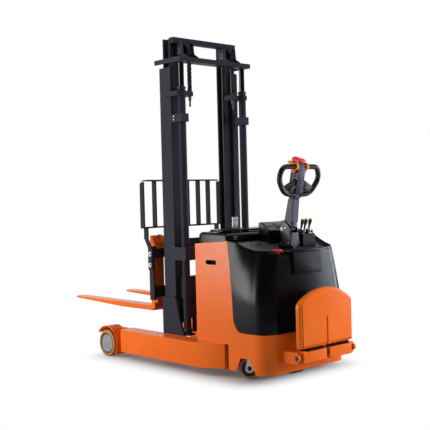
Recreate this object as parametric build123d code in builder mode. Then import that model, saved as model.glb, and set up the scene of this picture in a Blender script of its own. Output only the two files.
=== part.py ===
from build123d import *

import os
from math import cos, radians, sin

# An electric reach stacker, in millimetres. +X points to the fork tips, +Y to the truck's left, +Z up.
# The origin is on the floor, in the mid-plane, half-way between the fork tips and the rear end.
# The mast stands raised a little, with the fork tops 410 above the floor, and is drawn back.

SIDES = ((1, "left"), (-1, "right"))

# Load wheels and straddle legs
AXLE_X, AXLE_Z = 557, 105
LOAD_R = 105
LOAD_RIM_R = 80
LOAD_CAP_R = 71
LOAD_IN, LOAD_OUT = 417, 502
STUB_R = 20
GUARD_R = 137
GUARD_WALL = 6
GUARD_START, GUARD_SWEEP = 35, 181
ARM_IN, ARM_OUT = 392, 408
LEG_IN, LEG_OUT = 370, 498
LEG_LOW, LEG_TOP = 57, 228
LEG_WEB, LEG_FLANGE = 16, 18
LEG_FRONT, LEG_BEND, LEG_REAR = 375, -521, -711
LEG_REAR_OUT = 418

# Body: orange panels and skirt, black cover, deck, lid and console
BODY_FRONT = -423
PANEL_OUT = 410
SHEET = 6
PANEL_FRONT_TOP, PANEL_REAR_TOP = 909, 934
SEAM = [(-755, 934), (-770, 806), (-780, 671), (-790, 536), (-796, 401), (-817, 356), (-860, 323)]
SEAM_GAP = 3
SKIRT_LOW, SKIRT_TOP = 55, 321
SKIRT_FRONT = -742
BODY_REAR = -1113
COVER_STRAIGHT_TOP, COVER_TOP = 560, 945
COVER_SECTIONS = (
    (SKIRT_TOP, [(-740, 412), (-860, 416), (-975, 417), (-1069, 394), (-1116, 290)]),
    (COVER_STRAIGHT_TOP, [(-740, 412), (-860, 416), (-975, 417), (-1069, 394), (-1116, 290)]),
    (740, [(-740, 411), (-860, 406), (-975, 390), (-1060, 362), (-1107, 265)]),
    (COVER_TOP, [(-740, 410), (-860, 397), (-975, 352), (-1045, 322), (-1090, 232)]),
)
COVER_WALL = 5
RIM = [(-740, 937), (-833, 928), (-896, 896), (-973, 872), (-1130, 868)]
DECK_BELOW_RIM = 13
DECK_THICK = 5
LID_FRONT, LID_REAR, LID_TOP, LID_HALF = -434, -746, 998, 400
LID_HINGE_X, LID_HINGE_Z = -427, 909
KNUCKLE_R, LID_PIN_R = 6, 3
LID_KNUCKLE, KNUCKLE_LONG = (240, 281), 40
CONSOLE_FRONT, CONSOLE_REAR, CONSOLE_HALF = -759, -868, 112
HAND_SLOT = (-587, 783, 103, 31)
BATTERY = (-437, -737, 330, 312, 885)
TRAY_TOP, DRIVE_PLATE_TOP = 312, 330
PARTITION = (-753, -745)

# Drive unit, castors and tiller
STEER_X = -955
DRIVE_R, DRIVE_HALF = 125, 40
TURNTABLE_R = 125
RUN = 0.08
CASTOR_X, CASTOR_Y = -890, 318
CASTOR_R, CASTOR_HALF, CASTOR_TRAIL = 75, 23, 25
CASTOR_TURN = {"left": 37, "right": 180}
CASTOR_PIN_R = 8
CHEEK_WIDE, CHEEK_THICK, CHEEK_TALL, CHEEK_EYE_R = 50, 6, 114, 30
PIVOT_X, PIVOT_Z = -959, 1004
TILLER_WELL_R = 80
TILLER_HALF = 33
HEAD_LEAN = 11.8
HEAD_X, HEAD_LOW = -1025, 1212
HEAD_PLANE = Plane(origin=(HEAD_X, 0, HEAD_LOW), x_dir=(0, 1, 0),
                   z_dir=(cos(radians(HEAD_LEAN)), 0, sin(radians(HEAD_LEAN))))
GRIP_R = 17
GRIP_ROOT = 222
WING = 15
POD_HALF = 36
POD_TOP = 240
POD_REAR, POD_FRONT = -16, 62
POD_MID = (POD_REAR + POD_FRONT) / 2
DOME_HALF = 36
STEM_R = 9
LEVER_X, LEVER_Z = -913, 969
LEVERS = {"lift_lever": -158, "reach_lever": -194, "tilt_lever": -240}
VALVE = (-958, -868, -264, -136, 780, 958)
KNOB_X, KNOB_Y, KNOB_TOP, KNOB_SHELF = -1023, 200, 873, 826
KNOB_WELL_X, KNOB_WELL_Y = KNOB_X + 52, (KNOB_Y - 52, KNOB_Y + 52)
KEY_X, KEY_Y, KEY_Z = -962, -207, 976

# Platform, folded up
HINGE_X, HINGE_Z = -1256, 178
REAR_END = -1280
PLATFORM_HALF, PLATFORM_DEEP = 268, 42
PLATFORM_LOW, PLATFORM_SHOULDER, PLATFORM_TOP = 226, 523, 617
HINGE_BAR_HALF = 248
LUG_IN, LUG_OUT = 276, 292

# Outer mast
COLUMN_REAR, COLUMN_FRONT = -118, 6
COLUMN_OUT, COLUMN_IN = 343, 285
COLUMN_WEB, COLUMN_FLANGE = 15, 16
COLUMN_LOW, COLUMN_TOP = 115, 2200
CYLINDER_X, CYLINDER_Y = -205, 310
TUBE_R, TUBE_BORE, ROD_R = 28, 24, 21
TUBE_LOW, TUBE_TOP = 238, 2035
BRACKET_REAR, BRACKET_LOW, BRACKET_TOP = -206, 1984, 2018
CROSS_HALF = 305
BAND_REAR, BAND_OUT = -249, 351
REACH_ROLLERS_X = {"front_reach_rollers": -205, "rear_reach_rollers": -455}
REACH_Z, REACH_ROLLER_R = 142.5, 67
REACH_ROD_Y, REACH_ROD_Z, REACH_ROD_R = 200, 268, 15

# Inner mast, mast rollers, chains and sheaves
MAST_ROLLER_X = (COLUMN_REAR + COLUMN_FRONT) / 2
UPPER_ROLLER_Z, LOWER_ROLLER_Z = 2140, 345
SMALL_ROLLER_R, LARGE_ROLLER_R = 29.6, 45.6
CARRIAGE_ROLLERS_Z = {"lower_carriage_rollers": 540, "upper_carriage_rollers": 860}
INNER_REAR, INNER_FRONT = -98, -14
INNER_FLANGE = 12
INNER_OUT, INNER_IN, INNER_LIP = 322, 245, 219
INNER_WEB = (281, 293)
INNER_LOW, INNER_TOP = 300, 2418
YOKE_LOW, YOKE_TOP = 2228, 2262
YOKE_REAR, YOKE_FRONT, YOKE_HALF = -252, 42, 360
SHEAVE_X, SHEAVE_Y, SHEAVE_Z = -143, 220, 2320
SHEAVE_R, SHEAVE_GROOVE_R, SHEAVE_HALF = 54, 44, 24
CHAIN_THICK, CHAIN_WIDE, CHAIN_LOW = 12, 36, 2053
CHAIN_R = SHEAVE_GROOVE_R + 0.3 + CHAIN_THICK / 2
ANCHOR_X = -193

# Lift carriage, fork carriage, forks and backrest
CARRIAGE_LOW, CARRIAGE_TOP = 480, 920
FRONT_PLATES = ((CARRIAGE_LOW, 620), (780, CARRIAGE_TOP))
TILT_X, TILT_Z = 100, 815
PLUNGER_Z, PLUNGER_Y, PLUNGER_R = 520, 130, 18
PAD_REAR = 118.5
PLUNGER_GAP = 0.8
BAR_REAR, BAR_FRONT = 147, 169
UPPER_BAR, LOWER_BAR = (780, 870), (460, 560)
BAR_HALF = 360
FORK_IN, FORK_OUT = 216, 316
SHANK_REAR, SHANK_FRONT, SHANK_TOP = 170, 210, 950
FORK_TOP, FORK_THICK, FORK_TIP, FORK_TIP_THICK = 410, 38, 1280, 12
REST_LOW, REST_TOP, REST_HALF = 1007, 1378, 402
REST_BARS = (-278, -170, -57, 57, 170, 278)


def save(piece, name):
    """Label a finished piece and write it to its own file."""
    piece.label = name
    export_step(piece, f"parts/{name}.step")


def block(x, y, z, mode=Mode.ADD):
    """A box from three (low, high) pairs, in either order."""
    with Locations((sum(x) / 2, sum(y) / 2, sum(z) / 2)):
        Box(abs(x[1] - x[0]), abs(y[1] - y[0]), abs(z[1] - z[0]), mode=mode)


def bar_x(centre_y, centre_z, x, radius, mode=Mode.ADD):
    """A round bar along X."""
    with Locations((sum(x) / 2, centre_y, centre_z)):
        Cylinder(radius, abs(x[1] - x[0]), rotation=(0, 90, 0), mode=mode)


def bar_y(centre_x, centre_z, y, radius, mode=Mode.ADD):
    """A round bar along Y."""
    with Locations((centre_x, sum(y) / 2, centre_z)):
        Cylinder(radius, abs(y[1] - y[0]), rotation=(90, 0, 0), mode=mode)


def bar_z(centre_x, centre_y, z, radius, mode=Mode.ADD):
    """A round bar along Z."""
    with Locations((centre_x, centre_y, sum(z) / 2)):
        Cylinder(radius, abs(z[1] - z[0]), mode=mode)


def plate_y(points, y, mode=Mode.ADD):
    """A plate with an outline in X and Z, between two values of Y."""
    low, high = sorted(y)
    with BuildSketch(Plane.XZ.offset(-high)) as outline:
        with BuildLine():
            Polyline(*points, close=True)
        make_face()
    extrude(outline.sketch, amount=high - low, mode=mode)


def plate_z(points, z, mode=Mode.ADD):
    """A plate with an outline in X and Y, between two values of Z."""
    with BuildSketch(Plane.XY.offset(z[0])) as outline:
        with BuildLine():
            Polyline(*points, close=True)
        make_face()
    extrude(outline.sketch, amount=z[1] - z[0], mode=mode)


def span(side, inner, outer):
    """The Y range of something on one side of the truck."""
    return (side * inner, side * outer)


def leg(side):
    """A straddle leg: a channel open to the inside, with the wheel arm, stub axle and wheel guard."""
    outline = [(LEG_FRONT, LEG_IN), (LEG_FRONT, LEG_OUT), (LEG_BEND, LEG_OUT), (LEG_REAR, LEG_REAR_OUT),
               (LEG_REAR, LEG_IN)]
    web = LEG_OUT - LEG_WEB
    channel = [(LEG_FRONT - LEG_WEB, LEG_IN - 1), (LEG_FRONT - LEG_WEB, web), (LEG_BEND, web),
               (LEG_REAR + LEG_WEB, LEG_REAR_OUT - LEG_WEB), (LEG_REAR + LEG_WEB, LEG_IN - 1)]
    with BuildPart() as part:
        plate_z([(x, side * y) for x, y in outline], (LEG_LOW, LEG_TOP))
        plate_z([(x, side * y) for x, y in channel], (LEG_LOW + LEG_FLANGE, LEG_TOP - LEG_FLANGE),
                Mode.SUBTRACT)
        block((LEG_FRONT - 4, AXLE_X), span(side, ARM_IN, ARM_OUT), (LEG_LOW, LEG_TOP))
        with BuildSketch(Plane.XZ.offset(-max(span(side, ARM_IN, ARM_OUT)))) as disc:
            with Locations((AXLE_X, AXLE_Z)):
                Circle(GUARD_R)
            with Locations((AXLE_X, AXLE_Z - GUARD_R)):
                Rectangle(2 * GUARD_R, 2 * (GUARD_R - AXLE_Z + 45), mode=Mode.SUBTRACT)
        extrude(disc.sketch, amount=ARM_OUT - ARM_IN)
        with BuildSketch(Plane.XZ.offset(-max(span(side, ARM_IN, LOAD_OUT)))) as guard:
            with BuildLine():
                outer = CenterArc((AXLE_X, AXLE_Z), GUARD_R, GUARD_START, GUARD_SWEEP)
                inner = CenterArc((AXLE_X, AXLE_Z), GUARD_R - GUARD_WALL, GUARD_START, GUARD_SWEEP)
                Line(outer @ 0, inner @ 0)
                Line(outer @ 1, inner @ 1)
            make_face()
        extrude(guard.sketch, amount=LOAD_OUT - ARM_IN)
        bar_y(AXLE_X, AXLE_Z, span(side, ARM_IN - 12, 486), STUB_R)
    return part.part


def load_hub(side):
    """The cast hub of a load wheel, closed by a flat cap on its outer face."""
    with BuildPart() as part:
        bar_y(AXLE_X, AXLE_Z, span(side, LOAD_IN, LOAD_OUT - 4), LOAD_RIM_R - 0.05)
        bar_y(AXLE_X, AXLE_Z, span(side, LOAD_OUT - 5, LOAD_OUT), LOAD_CAP_R)
        bar_y(AXLE_X, AXLE_Z, span(side, LOAD_IN - 1, 488), STUB_R + RUN, Mode.SUBTRACT)
    return part.part


def ring_y(centre_x, centre_z, y, inner, outer, edge):
    """A ring about an axis along Y, with rounded outer edges."""
    with BuildPart() as part:
        bar_y(centre_x, centre_z, y, outer)
        rims = part.edges().filter_by(GeomType.CIRCLE)
        fillet(rims, edge)
        bar_y(centre_x, centre_z, (y[0] - 1, y[1] + 1), inner, Mode.SUBTRACT)
    return part.part


def chassis_frame():
    """The welded inner frame: bulkhead, battery tray, partition, drive plate and castor brackets."""
    inner = PANEL_OUT - SHEET
    bracket = (CASTOR_X - 60, CASTOR_X + 60)
    with BuildPart() as part:
        block((BODY_FRONT - 8, BODY_FRONT), (-inner, inner), (LEG_TOP, 905))
        block((PARTITION[1], BODY_FRONT - 8), (-inner, inner), (TRAY_TOP - 12, TRAY_TOP))
        block(PARTITION, (-inner, inner), (240, 905))
        block((-1100, PARTITION[0]), (-300, 300), (DRIVE_PLATE_TOP - 12, DRIVE_PLATE_TOP))
        block((LEG_REAR, LEG_REAR + 60), (-LEG_IN, LEG_IN), (60, LEG_TOP))
        block((LEG_REAR, LEG_REAR + 60), (-300, 300), (LEG_TOP, 300))
        block((VALVE[0], PARTITION[0]), (VALVE[2], VALVE[3]), (VALVE[4] - 12, VALVE[4]))
        for side, _ in SIDES:
            block(bracket, span(side, CASTOR_Y - 62, CASTOR_Y + 70), (196, 208))
            block(bracket, span(side, CASTOR_Y - 62, CASTOR_Y - 52), (207, DRIVE_PLATE_TOP - 11))
            bar_z(CASTOR_X, side * CASTOR_Y, (190, 210), 12 + RUN, Mode.SUBTRACT)
            bar_x(side * REACH_ROD_Y, REACH_ROD_Z, (-1000, BODY_FRONT + 1), TUBE_R + 0.05, Mode.SUBTRACT)
            bar_y(LID_HINGE_X, LID_HINGE_Z, span(side, *LID_KNUCKLE), KNUCKLE_R + 1, Mode.SUBTRACT)
            for y in (LID_KNUCKLE[0] - KNUCKLE_LONG, LID_KNUCKLE[1]):
                bar_y(LID_HINGE_X, LID_HINGE_Z, span(side, y, y + KNUCKLE_LONG), KNUCKLE_R)
            bar_y(LID_HINGE_X, LID_HINGE_Z, span(side, LID_KNUCKLE[0] - 1, LID_KNUCKLE[1] + 1), LID_PIN_R)
        bar_z(STEER_X, 0, (310, 335), TURNTABLE_R + 1, Mode.SUBTRACT)
    return part.part


def skirt_outline(inset):
    """One side of the skirt's plan: a gently widening flank and a round rear corner."""
    return [(SKIRT_FRONT, PANEL_OUT - inset), (-860, 413 - inset), (-975, 414 - inset),
            (-1068 + 0.7 * inset, 391 - 0.7 * inset), (BODY_REAR + inset, 290 - inset)]


def skirt_face(inset):
    """Draw the skirt's plan outline as a face in the sketch being built."""
    front, flank, bend, corner, rear = skirt_outline(inset)
    with BuildLine() as line:
        for side, _ in SIDES:
            hand = [(x, side * y) for x, y in (front, flank, bend, corner, rear)]
            Polyline(*hand[:3])
            ThreePointArc(*hand[2:])
        Line((front[0], front[1]), (front[0], -front[1]))
        Line((rear[0], rear[1]), (rear[0], -rear[1]))
    return line


def body_panels():
    """The orange side panels with hand slots, the skirt with castor arches, and the platform lugs."""
    panel = [(BODY_FRONT, LEG_TOP), (BODY_FRONT, PANEL_FRONT_TOP)] + SEAM
    panel += [(-860, SKIRT_TOP), (SKIRT_FRONT, SKIRT_TOP), (SKIRT_FRONT, LEG_TOP)]
    arch = [(-815, SKIRT_LOW - 1), (-860, 150), (-939, 150), (-1010, SKIRT_LOW - 1)]
    with BuildPart() as part:
        with BuildSketch(Plane.XY.offset(SKIRT_LOW)) as plan:
            outer = skirt_face(0)
            make_face(outer.edges())
            inner = skirt_face(SHEET)
            make_face(inner.edges(), mode=Mode.SUBTRACT)
        extrude(plan.sketch, amount=SKIRT_TOP - SKIRT_LOW)
        for side, _ in SIDES:
            plate_y(panel, span(side, PANEL_OUT - SHEET, PANEL_OUT))
            plate_y(arch, span(side, 360, 440), Mode.SUBTRACT)
            block((HINGE_X, BODY_REAR + 2), span(side, LUG_IN, LUG_OUT), (HINGE_Z - 40, HINGE_Z + 36))
            bar_y(HINGE_X, HINGE_Z, span(side, LUG_IN, LUG_OUT), HINGE_X - REAR_END)
            bar_y(HINGE_X, HINGE_Z, span(side, LUG_IN - 1, LUG_OUT + 1), 10 + RUN, Mode.SUBTRACT)
            with BuildSketch(Plane.XZ.offset(-max(span(side, 400, 415)))) as slot:
                with Locations(HAND_SLOT[:2]):
                    SlotOverall(HAND_SLOT[2], HAND_SLOT[3])
            extrude(slot.sketch, amount=15, mode=Mode.SUBTRACT)
    return part.part


def cover_volume(inset):
    """The solid bounded by the cover's flanks, drawn in by an inset."""
    with BuildPart() as part:
        for level, flank in COVER_SECTIONS:
            low = level == COVER_SECTIONS[0][0]
            with BuildSketch(Plane.XY.offset(level - (inset if low else 0))):
                with BuildLine():
                    hands = []
                    for side, _ in SIDES:
                        hand = [(x + inset * (x < -1000), side * (y - inset)) for x, y in flank]
                        Spline(*hand, tangents=((-1, 0), (0, -side)))
                        hands.append(hand)
                    Line(hands[0][0], hands[1][0])
                    Line(hands[0][-1], hands[1][-1])
                make_face()
        loft(ruled=True)
    return part.part


def rim_points(drop):
    return [(x, z - drop) for x, z in RIM]


def rear_cover():
    """The black moulded cover: a tapering shell behind the seam, open at the deck, with a rear box."""
    front = [(x - SEAM_GAP, z) for x, z in SEAM]
    keep = [(front[-1][0], SKIRT_TOP)] + front[::-1] + [(-758, 937)] + RIM[1:] + [(-1130, SKIRT_TOP)]
    with BuildPart() as part:
        add(cover_volume(0))
        block((-1109, -1060), (-145, 145), (705, 853))
        add(cover_volume(COVER_WALL), mode=Mode.SUBTRACT)
        plate_y(keep, (-450, 450), Mode.INTERSECT)
        block((-1140, KNOB_WELL_X), KNOB_WELL_Y, (838, 900), Mode.SUBTRACT)
        block((-1097, KNOB_WELL_X), KNOB_WELL_Y, (KNOB_SHELF - 6, KNOB_SHELF))
        bar_z(KNOB_X, KNOB_Y, (KNOB_SHELF - 10, KNOB_SHELF + 5), 13, Mode.SUBTRACT)
    return part.part


def deck_panel():
    """The deck inside the cover's rim, with openings for the tiller post, the valve and the knob."""
    top = [(-759, 922)] + rim_points(DECK_BELOW_RIM)[1:]
    band = top + [(x, z - DECK_THICK) for x, z in top[::-1]]
    with BuildPart() as part:
        add(cover_volume(COVER_WALL + 0.5))
        plate_y(band, (-450, 450), Mode.INTERSECT)
        bar_z(STEER_X, 0, (700, 1000), TILLER_WELL_R, Mode.SUBTRACT)
        block((VALVE[0] - 2, VALVE[1] + 2), (VALVE[2] - 2, VALVE[3] + 2), (700, 1000), Mode.SUBTRACT)
        block((-1140, KNOB_WELL_X), KNOB_WELL_Y, (700, 1000), Mode.SUBTRACT)
    return part.part


def console():
    """The grey wedge of the display, high at the front, sloping to the operator."""
    outline = [(CONSOLE_FRONT, 930), (CONSOLE_FRONT, 1046), (CONSOLE_FRONT - 22, 1050),
               (CONSOLE_REAR, 988), (CONSOLE_REAR, 900)]
    under = [(CONSOLE_FRONT + 1, 800), (CONSOLE_FRONT + 1, 922.4)] + rim_points(DECK_BELOW_RIM - 0.4)[1:4]
    under += [(RIM[3][0], 800)]
    with BuildPart() as part:
        plate_y(outline, (-CONSOLE_HALF, CONSOLE_HALF))
        fillet(part.edges().filter_by(Axis.Z), 12)
        plate_y(under, (-200, 200), Mode.SUBTRACT)
    return part.part


def battery_lid():
    """The black lid over the battery: a shallow moulded cap, open underneath, with two hinge knuckles."""
    low_front, low_rear = PANEL_FRONT_TOP + 2.5, PANEL_REAR_TOP + 1
    outer = [(LID_FRONT, low_front), (LID_FRONT, LID_TOP - 30), (LID_FRONT - 28, LID_TOP - 4),
             (LID_FRONT - 90, LID_TOP), (LID_REAR, LID_TOP), (LID_REAR, low_rear)]
    inner = [(LID_FRONT - 6, low_front - 5), (LID_FRONT - 6, LID_TOP - 34), (LID_FRONT - 32, LID_TOP - 10),
             (LID_FRONT - 90, LID_TOP - 6), (LID_REAR + 6, LID_TOP - 6), (LID_REAR + 6, low_rear - 5)]
    with BuildPart() as part:
        plate_y(outer, (-LID_HALF, LID_HALF))
        fillet(part.faces().sort_by(Axis.Z)[-1].edges().filter_by(Axis.X), 18)
        plate_y(inner, (6 - LID_HALF, LID_HALF - 6), Mode.SUBTRACT)
        for side, _ in SIDES:
            knuckle = span(side, LID_KNUCKLE[0] + 0.5, LID_KNUCKLE[1] - 0.5)
            bar_y(LID_HINGE_X, LID_HINGE_Z, knuckle, KNUCKLE_R)
            block((LID_FRONT - 6, LID_HINGE_X), knuckle, (low_front, LID_HINGE_Z + KNUCKLE_R))
            bar_y(LID_HINGE_X, LID_HINGE_Z, knuckle, LID_PIN_R + RUN, Mode.SUBTRACT)
    return part.part


def battery():
    front, rear, half, low, top = BATTERY
    with BuildPart() as part:
        block((rear, front), (-half, half), (low, top))
        fillet(part.edges().filter_by(Axis.Z), 8)
    return part.part


def hydraulic_unit():
    """The oil tank with the pump motor standing on it."""
    with BuildPart() as part:
        block((-1000, -765), (215, 385), (345, 560))
        bar_z(-850, 290, (560, 740), 60)
        bar_z(-850, 290, (740, 752), 30)
        block((-1000, -765), (215, 290), (330, 345))
    return part.part


def motor_controller():
    """The drive controller, on the drive plate at the right."""
    with BuildPart() as part:
        block((-1000, -765), (-385, -215), (345, 440))
        for x in range(-985, -770, 24):
            block((x, x + 8), (-380, -220), (440, 466))
        block((-1000, -765), (-290, -215), (330, 345))
    return part.part


def valve_block():
    """The lift, reach and tilt valve, with ears for the levers and the key switch's socket."""
    rear, front, right, left, low, top = VALVE
    with BuildPart() as part:
        block((rear, front), (right, left), (low, top))
        for y in LEVERS.values():
            for ear in (-12, 12):
                block((LEVER_X - 10, LEVER_X + 10), (y + ear - 2, y + ear + 2), (top - 1, LEVER_Z + 10))
            bar_y(LEVER_X, LEVER_Z, (y - 20, y + 20), 4 + RUN, Mode.SUBTRACT)
        block((KEY_X + 6, KEY_X + 24), (KEY_Y - 18, KEY_Y + 18), (top - 1, KEY_Z + 18))
        bar_x(KEY_Y, KEY_Z, (KEY_X, KEY_X + 26), 8 + RUN, Mode.SUBTRACT)
    return part.part


def lever(y):
    """A valve lever with its pivot pin, leaning a little to the rear."""
    with BuildPart() as part:
        bar_y(LEVER_X, LEVER_Z, (y - 9, y + 9), 9)
        bar_y(LEVER_X, LEVER_Z, (y - 14, y + 14), 4)
        with Locations((LEVER_X, y, LEVER_Z)):
            with Locations(Location((0, 0, 0), (8, -10, 0))):
                with Locations((0, 0, 42)):
                    Cone(6, 9, 84)
                with Locations((0, 0, 88)):
                    Cylinder(13, 12)
    return part.part


def reach_cylinders():
    """Two reach cylinder barrels under the battery tray."""
    with BuildPart() as part:
        for side, _ in SIDES:
            y = side * REACH_ROD_Y
            bar_x(y, REACH_ROD_Z, (-995, -436), TUBE_R)
            bar_x(y, REACH_ROD_Z, (-975, -455), TUBE_BORE, Mode.SUBTRACT)
            bar_x(y, REACH_ROD_Z, (-460, -430), REACH_ROD_R + RUN, Mode.SUBTRACT)
    return part.part


def reach_rods():
    """The reach rods and their pistons, bolted to the mast's foot."""
    with BuildPart() as part:
        for side, _ in SIDES:
            y = side * REACH_ROD_Y
            bar_x(y, REACH_ROD_Z, (-968, -185), REACH_ROD_R)
            bar_x(y, REACH_ROD_Z, (-968, -940), TUBE_BORE - RUN)
            bar_x(y, REACH_ROD_Z, (-222, -205), 24)
    return part.part


def steer_bearing():
    with BuildPart() as part:
        bar_z(STEER_X, 0, (330, 352), TURNTABLE_R + 25)
        bar_z(STEER_X, 0, (329, 353), TURNTABLE_R, Mode.SUBTRACT)
    return part.part


def platform_hinge():
    """The platform's two pins in their lugs, and the spring in the middle of the hinge bar."""
    with BuildPart() as part:
        for side, _ in SIDES:
            bar_y(HINGE_X, HINGE_Z, span(side, HINGE_BAR_HALF - 22, LUG_OUT), 10)
            bar_y(HINGE_X, HINGE_Z, span(side, LUG_OUT, LUG_OUT + 8), 17)
        bar_y(HINGE_X, HINGE_Z, (-12, 12), 20)
    return part.part


def platform():
    """The stand-on platform, folded up: a pressed plate with a centre rib on a hinge bar."""
    face = HINGE_X - 20
    with BuildPart() as part:
        with BuildSketch(Plane.YZ.offset(face)) as plate:
            with BuildLine():
                Polyline((-PLATFORM_HALF, PLATFORM_SHOULDER), (-PLATFORM_HALF, PLATFORM_LOW),
                         (PLATFORM_HALF, PLATFORM_LOW), (PLATFORM_HALF, PLATFORM_SHOULDER))
                ThreePointArc((PLATFORM_HALF, PLATFORM_SHOULDER), (0, PLATFORM_TOP),
                              (-PLATFORM_HALF, PLATFORM_SHOULDER))
            make_face()
            shoulders = plate.vertices().group_by(Axis.Y)[-1]
            fillet(shoulders, 42)
        extrude(plate.sketch, amount=PLATFORM_DEEP)
        block((face + 6, face + PLATFORM_DEEP + 1), (14 - PLATFORM_HALF, PLATFORM_HALF - 14),
              (PLATFORM_LOW + 14, PLATFORM_SHOULDER - 10), Mode.SUBTRACT)
        block((REAR_END, face), (-24, 4), (PLATFORM_LOW + 2, 425))
        block((REAR_END, HINGE_X + 22), (-HINGE_BAR_HALF, HINGE_BAR_HALF), (HINGE_Z - 39, HINGE_Z + 40))
        block((face, HINGE_X + 8), (-230, 230), (HINGE_Z + 39, PLATFORM_LOW + 1))
        block((REAR_END - 1, HINGE_X + 30), (-14, 14), (HINGE_Z - 45, HINGE_Z + 44), Mode.SUBTRACT)
        for side, _ in SIDES:
            bar_y(HINGE_X, HINGE_Z, span(side, HINGE_BAR_HALF - 24, HINGE_BAR_HALF + 1), 10 + RUN,
                  Mode.SUBTRACT)
    return part.part


def castor_fork(side, hand):
    """A castor's fork with its king pin, trailing the swivel axis."""
    turn = CASTOR_TURN[hand]
    trail = Location((CASTOR_X, side * CASTOR_Y, 0), (0, 0, turn))
    with BuildPart() as part:
        bar_z(CASTOR_X, side * CASTOR_Y, (178, 188), 46)
        bar_z(CASTOR_X, side * CASTOR_Y, (187, 195.6), 34)
        bar_z(CASTOR_X, side * CASTOR_Y, (195, 216), 12)
        with Locations(trail):
            for cheek in (-1, 1):
                with Locations((CASTOR_TRAIL / 2, cheek * (CASTOR_HALF + 6), 122)):
                    Box(CHEEK_WIDE, CHEEK_THICK, CHEEK_TALL)
                with Locations((CASTOR_TRAIL, cheek * (CASTOR_HALF + 6), CASTOR_R)):
                    Cylinder(CHEEK_EYE_R, CHEEK_THICK, rotation=(90, 0, 0))
            with Locations((CASTOR_TRAIL, 0, CASTOR_R)):
                Cylinder(CASTOR_PIN_R, 2 * CASTOR_HALF + 30, rotation=(90, 0, 0))
    return part.part


def castor_wheel(side, hand):
    trail = Location((CASTOR_X, side * CASTOR_Y, 0), (0, 0, CASTOR_TURN[hand]))
    with BuildPart() as part:
        with Locations(trail):
            with Locations((CASTOR_TRAIL, 0, CASTOR_R)):
                Cylinder(CASTOR_R, 2 * CASTOR_HALF, rotation=(90, 0, 0))
        fillet(part.edges().filter_by(GeomType.CIRCLE), 7)
        with Locations(trail):
            with Locations((CASTOR_TRAIL, 0, CASTOR_R)):
                Cylinder(CASTOR_PIN_R + RUN, 2 * CASTOR_HALF + 2, rotation=(90, 0, 0), mode=Mode.SUBTRACT)
    return part.part


def drive_gearbox():
    """The drive unit's housing: turntable, gear case beside the wheel, and the wheel's shaft."""
    with BuildPart() as part:
        bar_z(STEER_X, 0, (318, 352), TURNTABLE_R - RUN)
        bar_z(STEER_X, 0, (262, 320), 112)
        block((STEER_X - 62, STEER_X + 62), (DRIVE_HALF + 6, 106), (75, 270))
        bar_y(STEER_X, DRIVE_R, (DRIVE_HALF + 6, 106), 62)
        bar_y(STEER_X, DRIVE_R, (-DRIVE_HALF, DRIVE_HALF + 8), 25)
    return part.part


def drive_motor():
    with BuildPart() as part:
        bar_z(STEER_X, 0, (352, 620), 84)
        bar_z(STEER_X, 0, (620, 668), 60)
    return part.part


def drive_wheel():
    """The rubber-tyred drive wheel on its shaft."""
    with BuildPart() as part:
        bar_y(STEER_X, DRIVE_R, (-DRIVE_HALF, DRIVE_HALF), DRIVE_R)
        fillet(part.edges().filter_by(GeomType.CIRCLE), 8)
        bar_y(STEER_X, DRIVE_R, (-DRIVE_HALF - 1, DRIVE_HALF + 1), 25 + RUN, Mode.SUBTRACT)
    return part.part


def tiller_base():
    """The steering stirrup over the motor, its post through the deck, and the forked tiller head stock."""
    cheek = [(-908, 876), (-897, 980), (-899, 1029), (-928, 1067), (-987, 1026), (-995, 981), (-1006, 892)]
    with BuildPart() as part:
        for side, _ in SIDES:
            block((STEER_X - 40, STEER_X + 40), span(side, 90, 102), (352, 712))
            plate_y(cheek, span(side, 36, 44))
            bar_y(-921, 1001, span(side, 43, 50), 9)
            bar_y(PIVOT_X, PIVOT_Z, span(side, 43, 52), 14)
        block((STEER_X - 40, STEER_X + 40), (-102, 102), (700, 715))
        bar_z(STEER_X, 0, (714, 888), 38)
        block((-1003, -900), (-36, 36), (884, 976))
        bar_y(PIVOT_X, PIVOT_Z, (-44, 44), 10)
    return part.part


def tiller_arm():
    """The tapering tiller arm with its pivot eye."""
    outline = [(-932, 1046), (-944, 1084), (-978, HEAD_LOW), (-1028, HEAD_LOW), (-1009, 1046)]
    with BuildPart() as part:
        plate_y(outline, (-TILLER_HALF, TILLER_HALF))
        fillet(part.edges().filter_by(lambda edge: edge.length > 150), 8)
        block((-979, -939), (-22, 22), (PIVOT_Z, 1048))
        bar_y(PIVOT_X, PIVOT_Z, (-22, 22), 21)
        bar_y(PIVOT_X, PIVOT_Z, (-30, 30), 10 + RUN, Mode.SUBTRACT)
    return part.part


def stem(radius, low, high, mode=Mode.ADD):
    """A round bar along the tiller head's own length."""
    root = HEAD_PLANE.from_local_coords((0, low, POD_MID))
    with BuildSketch(Plane(root, z_dir=HEAD_PLANE.y_dir)) as ring:
        Circle(radius)
    extrude(ring.sketch, amount=high - low, mode=mode)


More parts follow.
